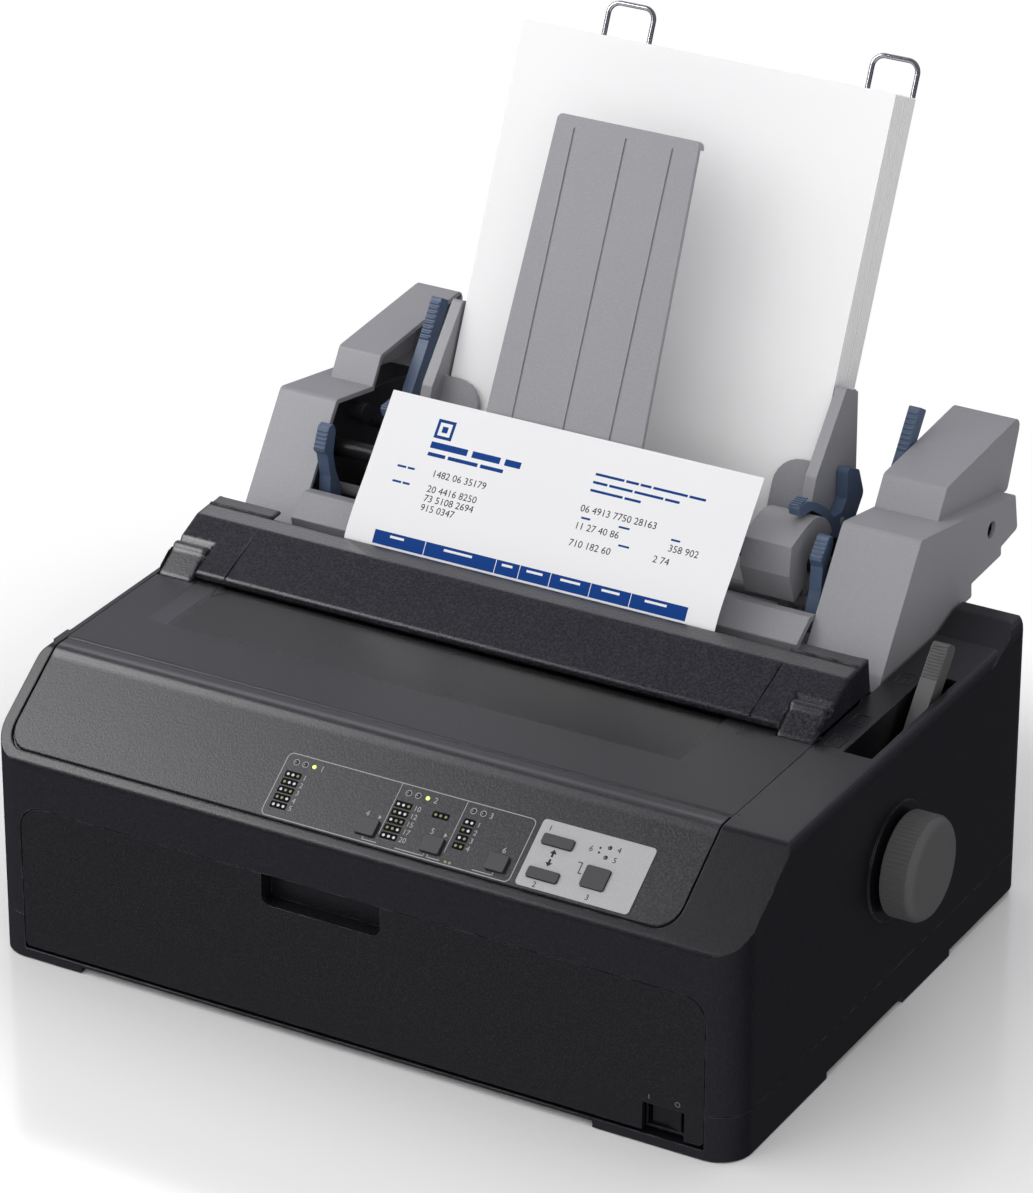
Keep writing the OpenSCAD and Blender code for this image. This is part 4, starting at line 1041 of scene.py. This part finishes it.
@dataclass
class SubAssembly:
    """A group of pieces that is dressed together.

    Each one names the CAD nodes it covers and the finish that each one takes. Rounding is how
    far a node's sharp edges are rounded, in millimetres.
    """

    datum: Datum
    layout: Layout
    palette: Palette
    edges: RoundEdges
    rounding: ClassVar[dict[str, float]] = {"cover_bar": 1.3}

    def finishes(self) -> dict[str, Surface]:
        """The finish of each CAD node here."""
        return {}

    def details(self) -> None:
        """Builds what the sub-assembly adds to its CAD nodes."""

    def build(self) -> None:
        """Dresses the nodes and adds the details."""
        for node, surface in self.finishes().items():
            self.dress(node, surface)
        self.details()

    def dress(self, node: str, surface: Surface) -> None:
        """Gives a CAD node its finish, in each of its material slots, and its rounded edges.

        Args:
            node: The node.
            surface: Its finish.
        """
        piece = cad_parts[node]
        for slot in piece.material_slots:
            slot.material = self.palette[surface]
        self.edges.on(piece, self.rounding.get(node, 0))
        LOG.info("%s: %s", node, surface.name.lower())

    def add(self, shape: Shape, name: str, body: str, surfaces: Sequence[Surface],
            slot: str | None = None, smooth_angle: float = 0,
            replaces: Sequence[str] = ()) -> bpy.types.Object:
        """Turns a shape into a piece of the printer.

        Args:
            shape: Its mesh, in printer millimetres.
            name: The piece's name.
            body: The CAD body that it rides on.
            surfaces: The finish of each finish number.
            slot: The record's material slot; not used.
            smooth_angle: As Shape.to_object has it.
            replaces: CAD nodes that it stands for.

        Returns:
            The piece.
        """
        piece = shape.to_object(name, self.datum, [self.palette[s] for s in surfaces], smooth_angle)
        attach(piece, body)
        if replaces:
            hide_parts(*replaces)
        LOG.info("%s: %d faces on %s", name, len(piece.data.polygons), body)
        return piece


@dataclass
class CaseShell(SubAssembly):
    """The two case halves with their feet and screws, and the signs embossed on the right strip."""

    sign_low: float = -0.3
    sign_high: float = 0.25
    line: float = 0.7
    leaf_half: tuple[float, float] = (4.2, 6)
    sign_x: float = 176.2
    sign_places: tuple[tuple[float, float], ...] = ((152, 0), (176, 180), (226, 0))

    def finishes(self) -> dict[str, Surface]:
        """The finish of each CAD node here."""
        return {"lower_case": Surface.CASE, "upper_case": Surface.CASE,
                "rubber_feet": Surface.FOOT, "case_screws": Surface.SCREW_STEEL}

    def details(self) -> None:
        """Embosses a leaf with an arrow at each place, given as its Y and its turn in degrees."""
        signs = Shape()
        low, high, line = self.sign_low, self.sign_high, self.line
        (a, b), top = self.leaf_half, Matrix.Translation((self.sign_x, 0, self.layout.top_z))
        leaf = rounded_box(-a, a, -b, b, 0.4, 1)
        inner = rounded_box(line - a, a - line, line - b, b - line, 0.2, 1)
        for y, turn in self.sign_places:
            spin = Matrix.Rotation(math.radians(turn), 4, "Z")
            place = top @ Matrix.Translation((0, y, 0)) @ spin
            signs.ring(leaf, inner, low, high, place)
            signs.stroke([(0, -3.6), (0, 1.6)], line, low, high, place)
            signs.prism([(-1.9, 1.2), (1.9, 1.2), (0, 4)], low, high, place)
        self.add(signs, "embossed_signs", "case", [Surface.CASE], "case_shell")


@dataclass(frozen=True)
class DotRows:
    """A block of rows of dots on the panel, from its upper row to its lower one.

    Places are across the panel and up its slope. Numerals stand beside the rows, one to a row,
    and steady blocks have no bright dots.
    """

    xs: tuple[float, ...]
    top: float
    low: float
    numerals: tuple[str, ...] = ()
    count: int = 1
    cells: bool = True
    steady: bool = True

    def level(self, row: int) -> float:
        """How far up the slope a row is."""
        return self.top - row * (self.top - self.low) / max(self.count - 1, 1)

    def bright(self, row: int, dot: int) -> bool:
        """Whether a dot is bright: the rows count up in threes, a binary digit to a dot."""
        return not self.steady and bool((row + 1) * 3 >> dot & 1)


@dataclass
class ControlPanel(SubAssembly):
    """The sloping panel with its buttons, lights and printing.

    Places are across the panel and up its slope. Lit and ringless say which lights are on, and
    which of them stand on the light plate.
    """

    ink: float = 0.05
    rule: float = 0.42
    dot_radius: float = 0.72
    cell_half: tuple[float, float] = (1.7, 1.75)
    frame_x: tuple[float, float] = (-54, 81)
    frame_s: tuple[float, float] = (8, 42.5)
    frame_radius: float = 3
    dividers: tuple[float, ...] = (8.4, 43.9)
    light_radius: float = 1.08
    pin_depth: float = 6.5
    lens_base: float = 0.1
    lens_rise: float = 0.42
    light_ring: tuple[float, float] = (1.62, 1.28)
    lights: tuple[tuple[float, float], ...] = (
        (-48.2, 38.1), (-43.3, 38.1), (-38.4, 38.1), (13.5, 38.1), (18.6, 38.1), (23.8, 38.1),
        (48.6, 38.1), (53.8, 38.1), (121.1, 38.2), (121.1, 33))
    lit: tuple[int, ...] = (2, 5)
    ringless: tuple[int, ...] = (8, 9)
    tie_tick: float = 10.9
    tie_base: float = 9.6
    numeral_height: float = 3
    numerals: tuple[tuple[str, float, float], ...] = (
        ("1", -35, 36.6), ("2", 27.2, 36.6), ("3", 57.2, 36.6), ("4", -2.6, 21.4),
        ("5", 32.6, 21.4), ("6", 71, 21.8))
    blocks: tuple[DotRows, ...] = (
        DotRows((-49.5, -46.9, -44.2), 31.3, 14.5, ("1", "2", "3", "4", "5"), 5, steady=False),
        DotRows((11.0, 13.75, 16.5), 31.5, 14.4, ("10", "12", "15", "17", "20"), 5, steady=False),
        DotRows((47.8, 50.5), 31.9, 19.0, ("1", "2", "3", "4"), 4, steady=False),
        DotRows((31.3, 34.0, 36.8), 31.3, 31.3),
        DotRows((46.6, 48.9), 9.7, 9.7, cells=False))
    row_numeral_height: float = 2.7
    plate_low: float = 0.3
    plate_face: float = 0.41
    plate_numeral_height: float = 2.9
    plate_numerals: tuple[tuple[str, float, float], ...] = (
        ("1", 88, 38.6), ("2", 92.6, 9.4), ("3", 120, 10.2), ("4", 125, 36.8), ("5", 125, 31.4),
        ("6", 111.4, 34.2))

    def finishes(self) -> dict[str, Surface]:
        """The finish of each CAD node here."""
        keys = {f"{key}_button": Surface.BUTTON
                for key in ("font", "pitch", "set", "load", "feed", "pause")}
        return {"control_panel": Surface.PANEL, "button_plate": Surface.PLATE, **keys}

    def details(self) -> None:
        """Adds the lights and everything printed."""
        self.light_lenses()
        self.rules()
        self.dot_rows()
        self.plate_print()

    def light_lenses(self) -> None:
        """Domed lenses in place of the plain light pins."""
        lenses = Shape()
        slope, r, base, rise = (self.layout.slope(), self.light_radius, self.lens_base,
                                self.lens_rise)
        dome = [(0, -self.pin_depth), (r, -self.pin_depth), (r, base)]
        dome += [(r * math.cos(a), base + rise * math.sin(a)) for a in (0.35, 0.75, 1.15)]
        dome += [(0, base + rise)]
        for i, (x, s) in enumerate(self.lights):
            place = slope @ Matrix.Translation((x, s, 0))
            lenses.lathe(dome, 24, place, finish=int(i in self.lit))
        self.add(lenses, "light_lenses", "case", [Surface.LENS_DARK, Surface.LENS_LIT],
                 "light_lens", 50, ["panel_lights"])

    def rules(self) -> None:
        """The printed frame, its dividers and the lines that tie the buttons together."""
        marks = Shape()
        slope, w, ink = self.layout.slope(), self.rule, self.ink
        (x0, x1), (s0, s1), r = self.frame_x, self.frame_s, self.frame_radius
        marks.ring(rounded_box(x0, x1, s0, s1, r),
                   rounded_box(x0 + w, x1 - w, s0 + w, s1 - w, r - w), -ink, ink, slope)
        for x in self.dividers:
            marks.stroke([(x, s0 + 6.5), (x, s1 - w)], w * 0.8, -ink, ink, slope)
        tick, base = self.tie_tick, self.tie_base
        for line in ([(1.5, tick), (1.5, base), (9, base)],
                     [(19.5, base), (34.5, base), (34.5, tick)],
                     [(36.5, tick), (36.5, base), (43.2, base)],
                     [(61, base), (71.6, base), (71.6, tick)]):
            marks.stroke(line, w, -ink, ink, slope)
        for x in (4.6, 40.2):
            marks.prism([(x, 21.2), (x + 1.5, 22.4), (x, 23.6)], -ink, ink, slope)
        outer, inner = self.light_ring
        for i, (x, s) in enumerate(self.lights):
            if i not in self.lit + self.ringless:
                marks.ring(disc_outline(x, s, outer), disc_outline(x, s, inner), -ink, ink, slope)
        for text, x, s in self.numerals:
            marks.numerals(text, x, s, self.numeral_height, -ink, ink, slope)
        self.add(marks, "panel_rules", "case", [Surface.GREY_INK], "panel")

    def dot_rows(self) -> None:
        """Rows of dots in dark cells, with plain numerals beside them."""
        rows = Shape()
        slope, ink, (across, up) = self.layout.slope(), self.ink, self.cell_half
        white, dark, olive, grey = range(4)
        for block in self.blocks:
            for row in range(block.count):
                s = block.level(row)
                if block.cells:
                    cell = rounded_box(block.xs[0] - across, block.xs[-1] + across, s - up, s + up,
                                       0.6, 2)
                    rows.prism(cell, -ink, ink, slope, dark)
                for dot, x in enumerate(block.xs):
                    rows.prism(disc_outline(x, s, self.dot_radius), 0, 2 * ink, slope,
                               white if block.bright(row, dot) else olive)
                if block.numerals:
                    rows.numerals(block.numerals[row], block.xs[-1] + 2.9, s - 1.3,
                                  self.row_numeral_height, -ink, ink, slope, grey)
        self.add(rows, "panel_dots", "case",
                 [Surface.WHITE_INK, Surface.DARK_INK, Surface.OLIVE_INK, Surface.GREY_INK],
                 "panel")

    def plate_print(self) -> None:
        """Arrows, a tie line, dots and numerals on the light plate."""
        marks = Shape()
        slope, low, high = self.layout.slope(), self.plate_low, self.plate_face + self.ink
        for tip, base in ((30, 27.9), (21, 23.1)):
            head = anticlockwise([(95.8, tip), (94, base), (97.6, base)])
            tail = base - 1.3 if tip > base else base + 1.3
            marks.prism(head, low, high, slope)
            marks.stroke([(95.8, base), (95.8, tail)], 1.1, low, high, slope)
        marks.stroke([(109.6, 27.4), (111.6, 27.4), (111.6, 22), (113, 22)], 0.5, low, high, slope)
        for text, x, s in self.plate_numerals:
            marks.numerals(text, x, s, self.plate_numeral_height, low, high, slope)
        for x, s in ((116.6, 37), (116.9, 34.6)):
            marks.prism(disc_outline(x, s, 0.6, 12), low, high, slope)
        self.add(marks, "plate_marks", "case", [Surface.PLATE_INK], "grey_plate")


@dataclass
class FrontDoor(SubAssembly):
    """The front door, the power switch and its marks."""

    on_x: float = 159.5
    off_x: float = 174.5
    mark_z: float = 25.2
    mark_height: float = 2
    mark_line: float = 0.45
    off_ring: tuple[float, float] = (1.4, 0.98)
    face_y: float = 0.15
    ink: float = 0.05

    def finishes(self) -> dict[str, Surface]:
        """The finish of each CAD node here."""
        return {"front_cover": Surface.DOOR, "switch_frame": Surface.BLACK,
                "power_rocker": Surface.BLACK}

    def details(self) -> None:
        """The on and off marks above the switch."""
        marks = Shape()
        face, z, middle = self.layout.front_face(self.face_y), self.mark_z, self.mark_height / 2
        marks.stroke([(self.on_x, z), (self.on_x, z + self.mark_height)], self.mark_line,
                     -self.ink, self.ink, face)
        outer, inner = (disc_outline(self.off_x, z + middle, r, 24) for r in self.off_ring)
        marks.ring(outer, inner, -self.ink, self.ink, face)
        self.add(marks, "switch_marks", "door", [Surface.MARK_INK], "door")


@dataclass
class TopCover(SubAssembly):
    """The hinged cover: smoked window and rear bar."""

    def finishes(self) -> dict[str, Surface]:
        """The finish of each CAD node here."""
        return {"cover_window": Surface.WINDOW, "cover_bar": Surface.HUMP}


@dataclass
class Levers(SubAssembly):
    """Paper release and thickness levers and the feed knob."""

    def finishes(self) -> dict[str, Surface]:
        """The finish of each CAD node here."""
        return {"release_lever": Surface.GREY_LEVER, "thickness_lever": Surface.BLUE_LEVER,
                "feed_knob": Surface.KNOB}


@dataclass
class PrintWorks(SubAssembly):
    """Chassis, platen, carriage, ribbon and their drives."""

    def finishes(self) -> dict[str, Surface]:
        """The finish of each CAD node here."""
        return {
            "base_frame": Surface.SHEET_STEEL, "side_frames": Surface.SHEET_STEEL,
            "platen_roller": Surface.PLATEN, "platen_shaft": Surface.BRIGHT_STEEL,
            "platen_gear": Surface.GEAR, "feed_motor": Surface.MOTOR,
            "motor_pinion": Surface.BRASS, "carriage_rails": Surface.BRIGHT_STEEL,
            "carriage": Surface.BLACK, "print_head": Surface.HEAD, "drive_belt": Surface.BELT,
            "carriage_motor": Surface.MOTOR, "motor_pulley": Surface.GEAR,
            "idler_pulley": Surface.GEAR, "ribbon_cartridge": Surface.BLACK,
            "ribbon_knob": Surface.BLACK,
        }


@dataclass
class Electrics(SubAssembly):
    """Boards, supply, ports and mains inlet."""

    def finishes(self) -> dict[str, Surface]:
        """The finish of each CAD node here."""
        return {"circuit_boards": Surface.BOARD, "power_supply": Surface.SUPPLY,
                "interface_ports": Surface.BLACK, "power_inlet": Surface.BLACK}


@dataclass
class SheetFeeder(SubAssembly):
    """The sheet feeder on top, without its paper."""

    def finishes(self) -> dict[str, Surface]:
        """The finish of each CAD node here."""
        plain = {n: Surface.FEEDER for n in ("feeder_left_housing", "feeder_right_housing",
                                            "feeder_frame", "left_guide", "right_guide")}
        blue = {f"{s}_{k}_lever": Surface.BLUE_LEVER for s in ("left", "right")
                for k in ("lock", "set", "hook")}
        return {**plain, **blue, "feeder_side_plates": Surface.FEEDER_DARK,
                "paper_wires": Surface.BRIGHT_STEEL, "stacker": Surface.STACKER,
                "pickup_shaft": Surface.BLACK, "left_pickup_roller": Surface.ROLLER,
                "right_pickup_roller": Surface.ROLLER}


@dataclass(frozen=True)
class SheetPath:
    """The curved face of the printed sheet, as points of Y and Z from its lower edge to its upper one."""

    stations: tuple[tuple[float, float], ...] = ((178.1, 124), (193.6, 165), (217.1, 194.7),
                                                 (242.55, 225.6))
    steps: int = 10

    def line(self) -> list[Vector]:
        """Finds smooth points along the sheet by a Catmull-Rom curve through its stations.

        Returns:
            The points, from the lower edge up.
        """
        p = [Vector(s) for s in self.stations]
        p = [2 * p[0] - p[1], *p, 2 * p[-1] - p[-2]]
        points = []
        for i in range(1, len(p) - 2):
            for k in range(self.steps):
                t = k / self.steps
                a, b, c, d = p[i - 1:i + 3]
                points.append(0.5 * (2 * b + (c - a) * t + (2 * a - 5 * b + 4 * c - d) * t * t
                                     + (3 * b - 3 * c + d - a) * t ** 3))
        return [*points, p[-2]]

    def place(self, down: float, out: float) -> Vector:
        """Finds a point on or over the sheet.

        Args:
            down: How far along the sheet it is from the upper edge.
            out: How far out from the sheet's face it is.

        Returns:
            Its Y and Z.
        """
        line = list(reversed(self.line()))
        left = down
        for a, b in zip(line, line[1:]):
            step = (b - a).length
            if left <= step or b is line[-1]:
                along = (b - a) / step
                return a + along * left + Vector((along.y, -along.x)) * out
            left -= step
        return line[-1]


@dataclass
class Form:
    """The printing of a plain form: bars, rules, a divided band and rows of numerals.

    Places are millimetres from the left edge and down from the upper edge. Bars are cut into
    strips low enough to follow the bent sheet. The gap between words is a share of their height.
    """

    shape: Shape = field(default_factory=Shape)
    under: float = 0.01
    ink: float = 0.03
    over: float = 0.01
    strip: float = 1.5
    digit: float = 3.6
    digit_drop: float = 3.5
    word_gap: float = 0.8
    band_down: float = 71
    band_height: float = 7
    band_word_drop: float = 1.4
    band_word_height: float = 1.2
    band_cells: tuple[tuple[float, float], ...] = (
        (16, 29), (45.4, 40), (85.8, 13), (99.2, 17), (116.6, 22), (139, 22), (161.4, 31))
    band_words: tuple[tuple[float, float], ...] = (
        (25, 8), (56, 16), (89, 6), (103, 9), (122, 11), (145, 10), (169, 12))
    squares: tuple[tuple[float, float, float], ...] = ((30, 9, 10), (31.6, 10.6, 6.8),
                                                       (33.4, 12.4, 3.2))
    word_rows: tuple[tuple[float, float, float, tuple[float, ...]], ...] = (
        (30, 21, 3.4, (21, 16, 9)), (30, 26.6, 1.9, (10, 17, 13)),
        (122, 17, 1.3, (16, 7, 6, 19, 9)), (122, 21.2, 1.3, (8, 13, 16, 8)),
        (122, 25.4, 1.3, (18, 9)), (16, 36.4, 1.1, (5, 4)), (16, 44.4, 1.1, (5, 4)),
        (122, 40, 1, (5,)), (143, 40, 1, (6,)), (172, 40, 1, (5,)), (146, 49, 1, (6,)))
    numerals: tuple[tuple[str, float, float], ...] = (
        ("1482 06 35179", 36, 35), ("20 4416 8250", 36, 43), ("73 5108 2694", 36, 48),
        ("915 0347", 36, 53), ("06 4913 7750 28163", 120, 34), ("11 27 40 86", 120, 43),
        ("358 902", 172, 43), ("710 182 60", 120, 52), ("2 74", 166, 50))

    def bar(self, x: float, down: float, width: float, height: float, layer: int = 0,
            finish: int = 0) -> None:
        """Adds a bar.

        Args:
            x, down: Its upper left corner.
            width, height: Its size.
            layer: How many bars it lies on.
            finish: Finish number.
        """
        low = self.ink + (layer - 1) * self.over if layer else -self.under
        high = self.ink + layer * self.over
        strips = math.ceil(height / self.strip)
        for i in range(strips):
            a, b = -down - height * (i + 1) / strips, -down - height * i / strips
            self.shape.prism([(x, a), (x + width, a), (x + width, b), (x, b)], low, high,
                             finish=finish)

    def words(self, x: float, down: float, height: float, widths: Sequence[float]) -> None:
        """Adds a row of bars with gaps between them, as words stand in a line.

        Args:
            x, down: Upper left corner of the row.
            height: Height of the bars.
            widths: Their widths.
        """
        for width in widths:
            self.bar(x, down, width, height)
            x += width + height * self.word_gap

    def build(self) -> Shape:
        """Prints the form on a flat sheet.

        Returns:
            The shape, with finish 0 for bars, 1 for numerals and 2 for bare paper on a bar.
        """
        for x, width in self.band_cells:
            self.bar(x, self.band_down, width, self.band_height)
        for x, width in self.band_words:
            self.bar(x, self.band_down + self.band_word_drop, width, self.band_word_height, 1, 2)
        for layer, (x, down, side) in enumerate(self.squares):
            self.bar(x, down, side, side, layer, 2 * (layer % 2))
        for x, down, height, widths in self.word_rows:
            self.words(x, down, height, widths)
        for text, x, down in self.numerals:
            self.shape.numerals(text, x, -down - self.digit_drop, self.digit, -self.under,
                                self.ink, finish=1)
        return self.shape


@dataclass
class PaperLoad(SubAssembly):
    """The stack in the feeder and the printed sheet that comes out in front of it."""

    leaves: int = 40
    leaf_gap: float = 0.03
    path: SheetPath = field(default_factory=SheetPath)
    sheet_thick: float = 0.12
    sheet_margin: float = 0.5
    sheet_rows: int = 40

    def details(self) -> None:
        """Builds the stack, the sheet and its printing."""
        self.stack()
        self.sheet()
        form = Form().build()
        form.bend(self.on_sheet)
        self.add(form, "form_printing", "case",
                 [Surface.BLUE_INK, Surface.BLACK_INK, Surface.FORM_PAPER], "printed_paper")

    def stack(self) -> None:
        """The stack as bundles of leaves, each a hair out of line with the next."""
        stack = Shape()
        size, place = self.layout, self.layout.stack()
        half, length = size.sheet_width / 2, size.sheet_length
        thick = size.stack_depth / self.leaves
        for i in range(self.leaves):
            side = 0.16 * math.sin(i * 2.4) + 0.1 * math.sin(i * 5.1)
            top = 0.18 + 0.18 * math.sin(i * 1.7)
            edge = i in (0, self.leaves - 1)
            x0 = size.paper_x - half + (0.1 if edge else 0.28 + side)
            x1 = size.paper_x + half - (0.1 if edge else 0.28 - side)
            outline = rounded_box(x0, x1, 0.02, length - (0.1 if edge else 0.1 + top), 0.6, 2)
            front = self.layout.front_face(i * thick)
            stack.prism(outline, self.leaf_gap - thick, 0, place @ front)
        self.add(stack, "copy_paper", "case", [Surface.COPY_PAPER], "copy_paper",
                 replaces=["paper_stack"])

    def sheet(self) -> None:
        """The printed sheet, thin and smoothly bent."""
        line = self.path.line()
        x0 = self.left_edge()
        x1 = x0 + self.layout.sheet_width - 2 * self.sheet_margin
        total = sum((b - a).length for a, b in zip(line, line[1:]))
        points = []
        for i in range(self.sheet_rows + 1):
            for out in (0, -self.sheet_thick):
                at = self.path.place(total * i / self.sheet_rows, out)
                points += [(x0, at.x, at.y), (x1, at.x, at.y)]
        faces = []
        for i in range(self.sheet_rows):
            a, b = 4 * i, 4 * i + 4
            faces += [(a, b, b + 1, a + 1), (a + 2, a + 3, b + 3, b + 2),
                      (a, a + 2, b + 2, b), (a + 1, b + 1, b + 3, a + 3)]
        last = 4 * self.sheet_rows
        faces += [(0, 1, 3, 2), (last, last + 2, last + 3, last + 1)]
        sheet = Shape()
        sheet.add(points, faces)
        self.add(sheet, "form_sheet", "case", [Surface.FORM_PAPER], "printed_paper", 40,
                 ["printed_sheet"])

    def left_edge(self) -> float:
        """The printed sheet's left edge."""
        return self.layout.paper_x - self.layout.sheet_width / 2 + self.sheet_margin

    def on_sheet(self, point: Vector) -> Vector:
        """Lays a point of the form on the sheet: X from its left edge, Y down negative, Z out."""
        at = self.path.place(-point.y, point.z)
        return Vector((self.left_edge() + point.x, at.x, at.y))


# ---------------------------------------------------------------- studio


class Lit(Enum):
    """The light that a lamp gives: its mirror image, or the even light on matt surfaces."""

    MIRRORED = "mirrored"
    MATT = "matt"


@dataclass
class Studio:
    """Camera, floor, world and lamps. Lengths are millimetres from the case's datum."""

    datum: Datum
    azimuth: float = 29.625
    elevation: float = 26.403
    roll: float = 0.112
    distance: float = 2745.4
    aim: tuple[float, float, float] = (0, 175, 100)
    slide: tuple[float, float] = (-9.12, 61.45)
    picture_height: float = 1193
    focal_pixels: float = 5580.7
    sensor: float = 36
    floor_half: float = 20
    wall_way: tuple[float, float, float] = (-0.5, 0.8, 0.36)
    room_level: float = 0.14
    wall_level: float = 0.42
    room_tint: tuple[float, float, float] = (0.96, 0.95, 1.09)
    under_levels: tuple[float, float] = (0.04, 0.3)
    fill_level: float = 0.7
    fade: tuple[float, float] = (0.11, 0.26)

    def build(self) -> None:
        """Makes all of it."""
        self.camera()
        self.floor()
        self.world()
        self.lamps()

    def camera(self) -> None:
        """The camera, looking along its own axis from the named angles."""
        az, el, roll = (math.radians(a) for a in (self.azimuth, self.elevation, self.roll))
        back = Vector((math.sin(az) * math.cos(el), -math.cos(az) * math.cos(el), math.sin(el)))
        level = Vector((math.cos(az), math.sin(az), 0))
        rise = back.cross(level)
        right = level * math.cos(roll) + rise * math.sin(roll)
        up = rise * math.cos(roll) - level * math.sin(roll)
        place = Vector(self.aim) + back * self.distance + right * self.slide[0] + up * self.slide[1]
        data = bpy.data.cameras.new("camera")
        data.sensor_width = self.sensor
        data.lens = self.focal_pixels / self.picture_height * self.sensor
        data.clip_start, data.clip_end = 0.1, 100
        camera = bpy.data.objects.new("camera", data)
        bpy.context.scene.collection.objects.link(camera)
        turned = Matrix((right, up, back)).transposed().to_4x4()
        camera.matrix_world = Matrix.Translation(self.datum.matrix() @ place) @ turned
        bpy.context.scene.camera = camera

    def floor(self) -> None:
        """A pale, softly reflecting floor that fades to white away from the printer."""
        half = self.floor_half
        mesh = bpy.data.meshes.new("floor")
        mesh.from_pydata([(-half, -half, 0), (half, -half, 0), (half, half, 0), (-half, half, 0)],
                         [], [(0, 1, 2, 3)])
        material = bpy.data.materials.new("floor")
        material.use_nodes = True
        g = Graph(material.node_tree)
        g.tree.nodes.clear()
        matt = g.node("BsdfDiffuse", {"Color": (0.93, 0.93, 0.93, 1)})
        gloss = g.node("BsdfAnisotropic", {"Color": (0.97, 0.97, 0.97, 1), "Roughness": 0.16})
        mix = g.node("MixShader", {0: 0.16, 1: matt.outputs[0], 2: gloss.outputs[0]})
        white = g.node("Emission", {"Color": WHITE})
        shown = g.math("MULTIPLY", self.far_from_case(g),
                       g.node("LightPath").outputs["Is Camera Ray"])
        faded = g.node("MixShader", {0: shown, 1: mix.outputs[0], 2: white.outputs[0]})
        out = g.node("OutputMaterial")
        g.link(faded.outputs[0], out.inputs[0])
        mesh.materials.append(material)
        floor = bpy.data.objects.new("floor", mesh)
        floor.visible_glossy = False
        bpy.context.scene.collection.objects.link(floor)

    def far_from_case(self, g: Graph) -> bpy.types.NodeSocket:
        """Wires a mask that rises from 0 near the case's footprint to 1 away from it.

        Args:
            g: The nodes that it is wired in.

        Returns:
            The mask.
        """
        low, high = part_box("lower_case")
        place = g.node("SeparateXYZ", {0: g.node("NewGeometry").outputs["Position"]})
        parts = []
        for axis in (0, 1):
            middle, half = (low[axis] + high[axis]) / 2, (high[axis] - low[axis]) / 2
            off = g.math("ABSOLUTE", g.math("SUBTRACT", place.outputs[axis], middle))
            out = g.math("MAXIMUM", g.math("SUBTRACT", off, half), 0.0)
            parts.append(g.math("MULTIPLY", out, out))
        distance = g.math("SQRT", g.math("ADD", *parts))
        near, far = self.fade
        return g.range(distance, (near, 0), (far, 1), "SMOOTHSTEP")

    def world(self) -> None:
        """White to the camera, a plain level of light, and a darker room with a brighter back
        wall at the left for reflections."""
        world = bpy.data.worlds.new("studio")
        world.use_nodes = True
        g = Graph(world.node_tree)
        back = world.node_tree.nodes["Background"]
        rays = g.node("LightPath")
        seen = g.math("MAXIMUM", rays.outputs["Is Camera Ray"],
                      rays.outputs["Is Transmission Ray"])
        way = g.node("TexCoord").outputs["Generated"]
        height = g.node("SeparateXYZ", {0: way})
        above = g.range(height.outputs[2], (-0.05, 0.12), (0.05, 1.0))
        wall = g.node("VectorMath", {0: way, 1: Vector(self.wall_way).normalized()},
                      operation="DOT_PRODUCT")
        room = g.range(wall.outputs["Value"], (0.55, self.room_level), (0.97, self.wall_level),
                       "SMOOTHSTEP")
        dark, pale = self.under_levels
        under = g.range(height.outputs[1], (0.4, dark), (-0.8, pale))
        mirrored, plain = g.mix(above, under, room), g.mix(seen, self.fill_level, above)
        glossy = rays.outputs["Is Glossy Ray"]
        g.link(g.mix(glossy, plain, mirrored), back.inputs["Strength"])
        g.link(g.mix_colours(glossy, WHITE, (*self.room_tint, 1)), back.inputs["Color"])
        bpy.context.scene.world = world

    def lamps(self) -> None:
        """A box above the front left and a narrow one behind it for the highlights, and three
        large ones for the even light."""
        self.soft_box("key", (-1010, -450, 1130), (-70, 100, 80), 0.76, 0.76, 10.5, Lit.MIRRORED)
        self.soft_box("rim", (-1100, 1300, 1150), (-100, 150, 150), 0.6, 0.16, 0.7, Lit.MIRRORED)
        self.soft_box("side", (-1100, -900, 1500), (0, 150, 150), 2.2, 1.8, 17, Lit.MATT)
        self.soft_box("front", (800, -1900, 1300), (0, 150, 150), 2.0, 1.6, 12, Lit.MATT)
        self.soft_box("overhead", (100, 700, 1700), (0, 180, 60), 1.2, 1.0, 3, Lit.MATT)

    def soft_box(self, name: str, place: tuple, aim: tuple, width: float, height: float,
                 power: float, lit: Lit) -> None:
        """Makes one area lamp.

        Args:
            name: Its name.
            place, aim: Where it stands and what it points at, in millimetres.
            width, height: Its size in metres.
            power: Its power in watts.
            lit: The part of the light on the surfaces that it gives.
        """
        data = bpy.data.lights.new(name, "AREA")
        data.shape, data.size, data.size_y, data.energy = "RECTANGLE", width, height, power
        lamp = bpy.data.objects.new(name, data)
        lamp.visible_diffuse, lamp.visible_glossy = lit is Lit.MATT, lit is Lit.MIRRORED
        bpy.context.scene.collection.objects.link(lamp)
        at, to = self.datum.matrix() @ Vector(place), self.datum.matrix() @ Vector(aim)
        turned = (to - at).to_track_quat("-Z", "Y").to_matrix().to_4x4()
        lamp.matrix_world = Matrix.Translation(at) @ turned


def main() -> None:
    """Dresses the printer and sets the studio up."""
    logging.basicConfig(level=logging.INFO, format="%(name)s: %(message)s")
    datum, layout = Datum.of_case(), Layout()
    palette, edges = Palette(Effects()), RoundEdges()
    for part in (CaseShell, ControlPanel, FrontDoor, TopCover, Levers, PrintWorks, Electrics,
                 SheetFeeder, PaperLoad):
        part(datum, layout, palette, edges).build()
    Studio(datum).build()
    bpy.context.scene.view_settings.view_transform = "Standard"


if __name__ == "__main__":
    main()
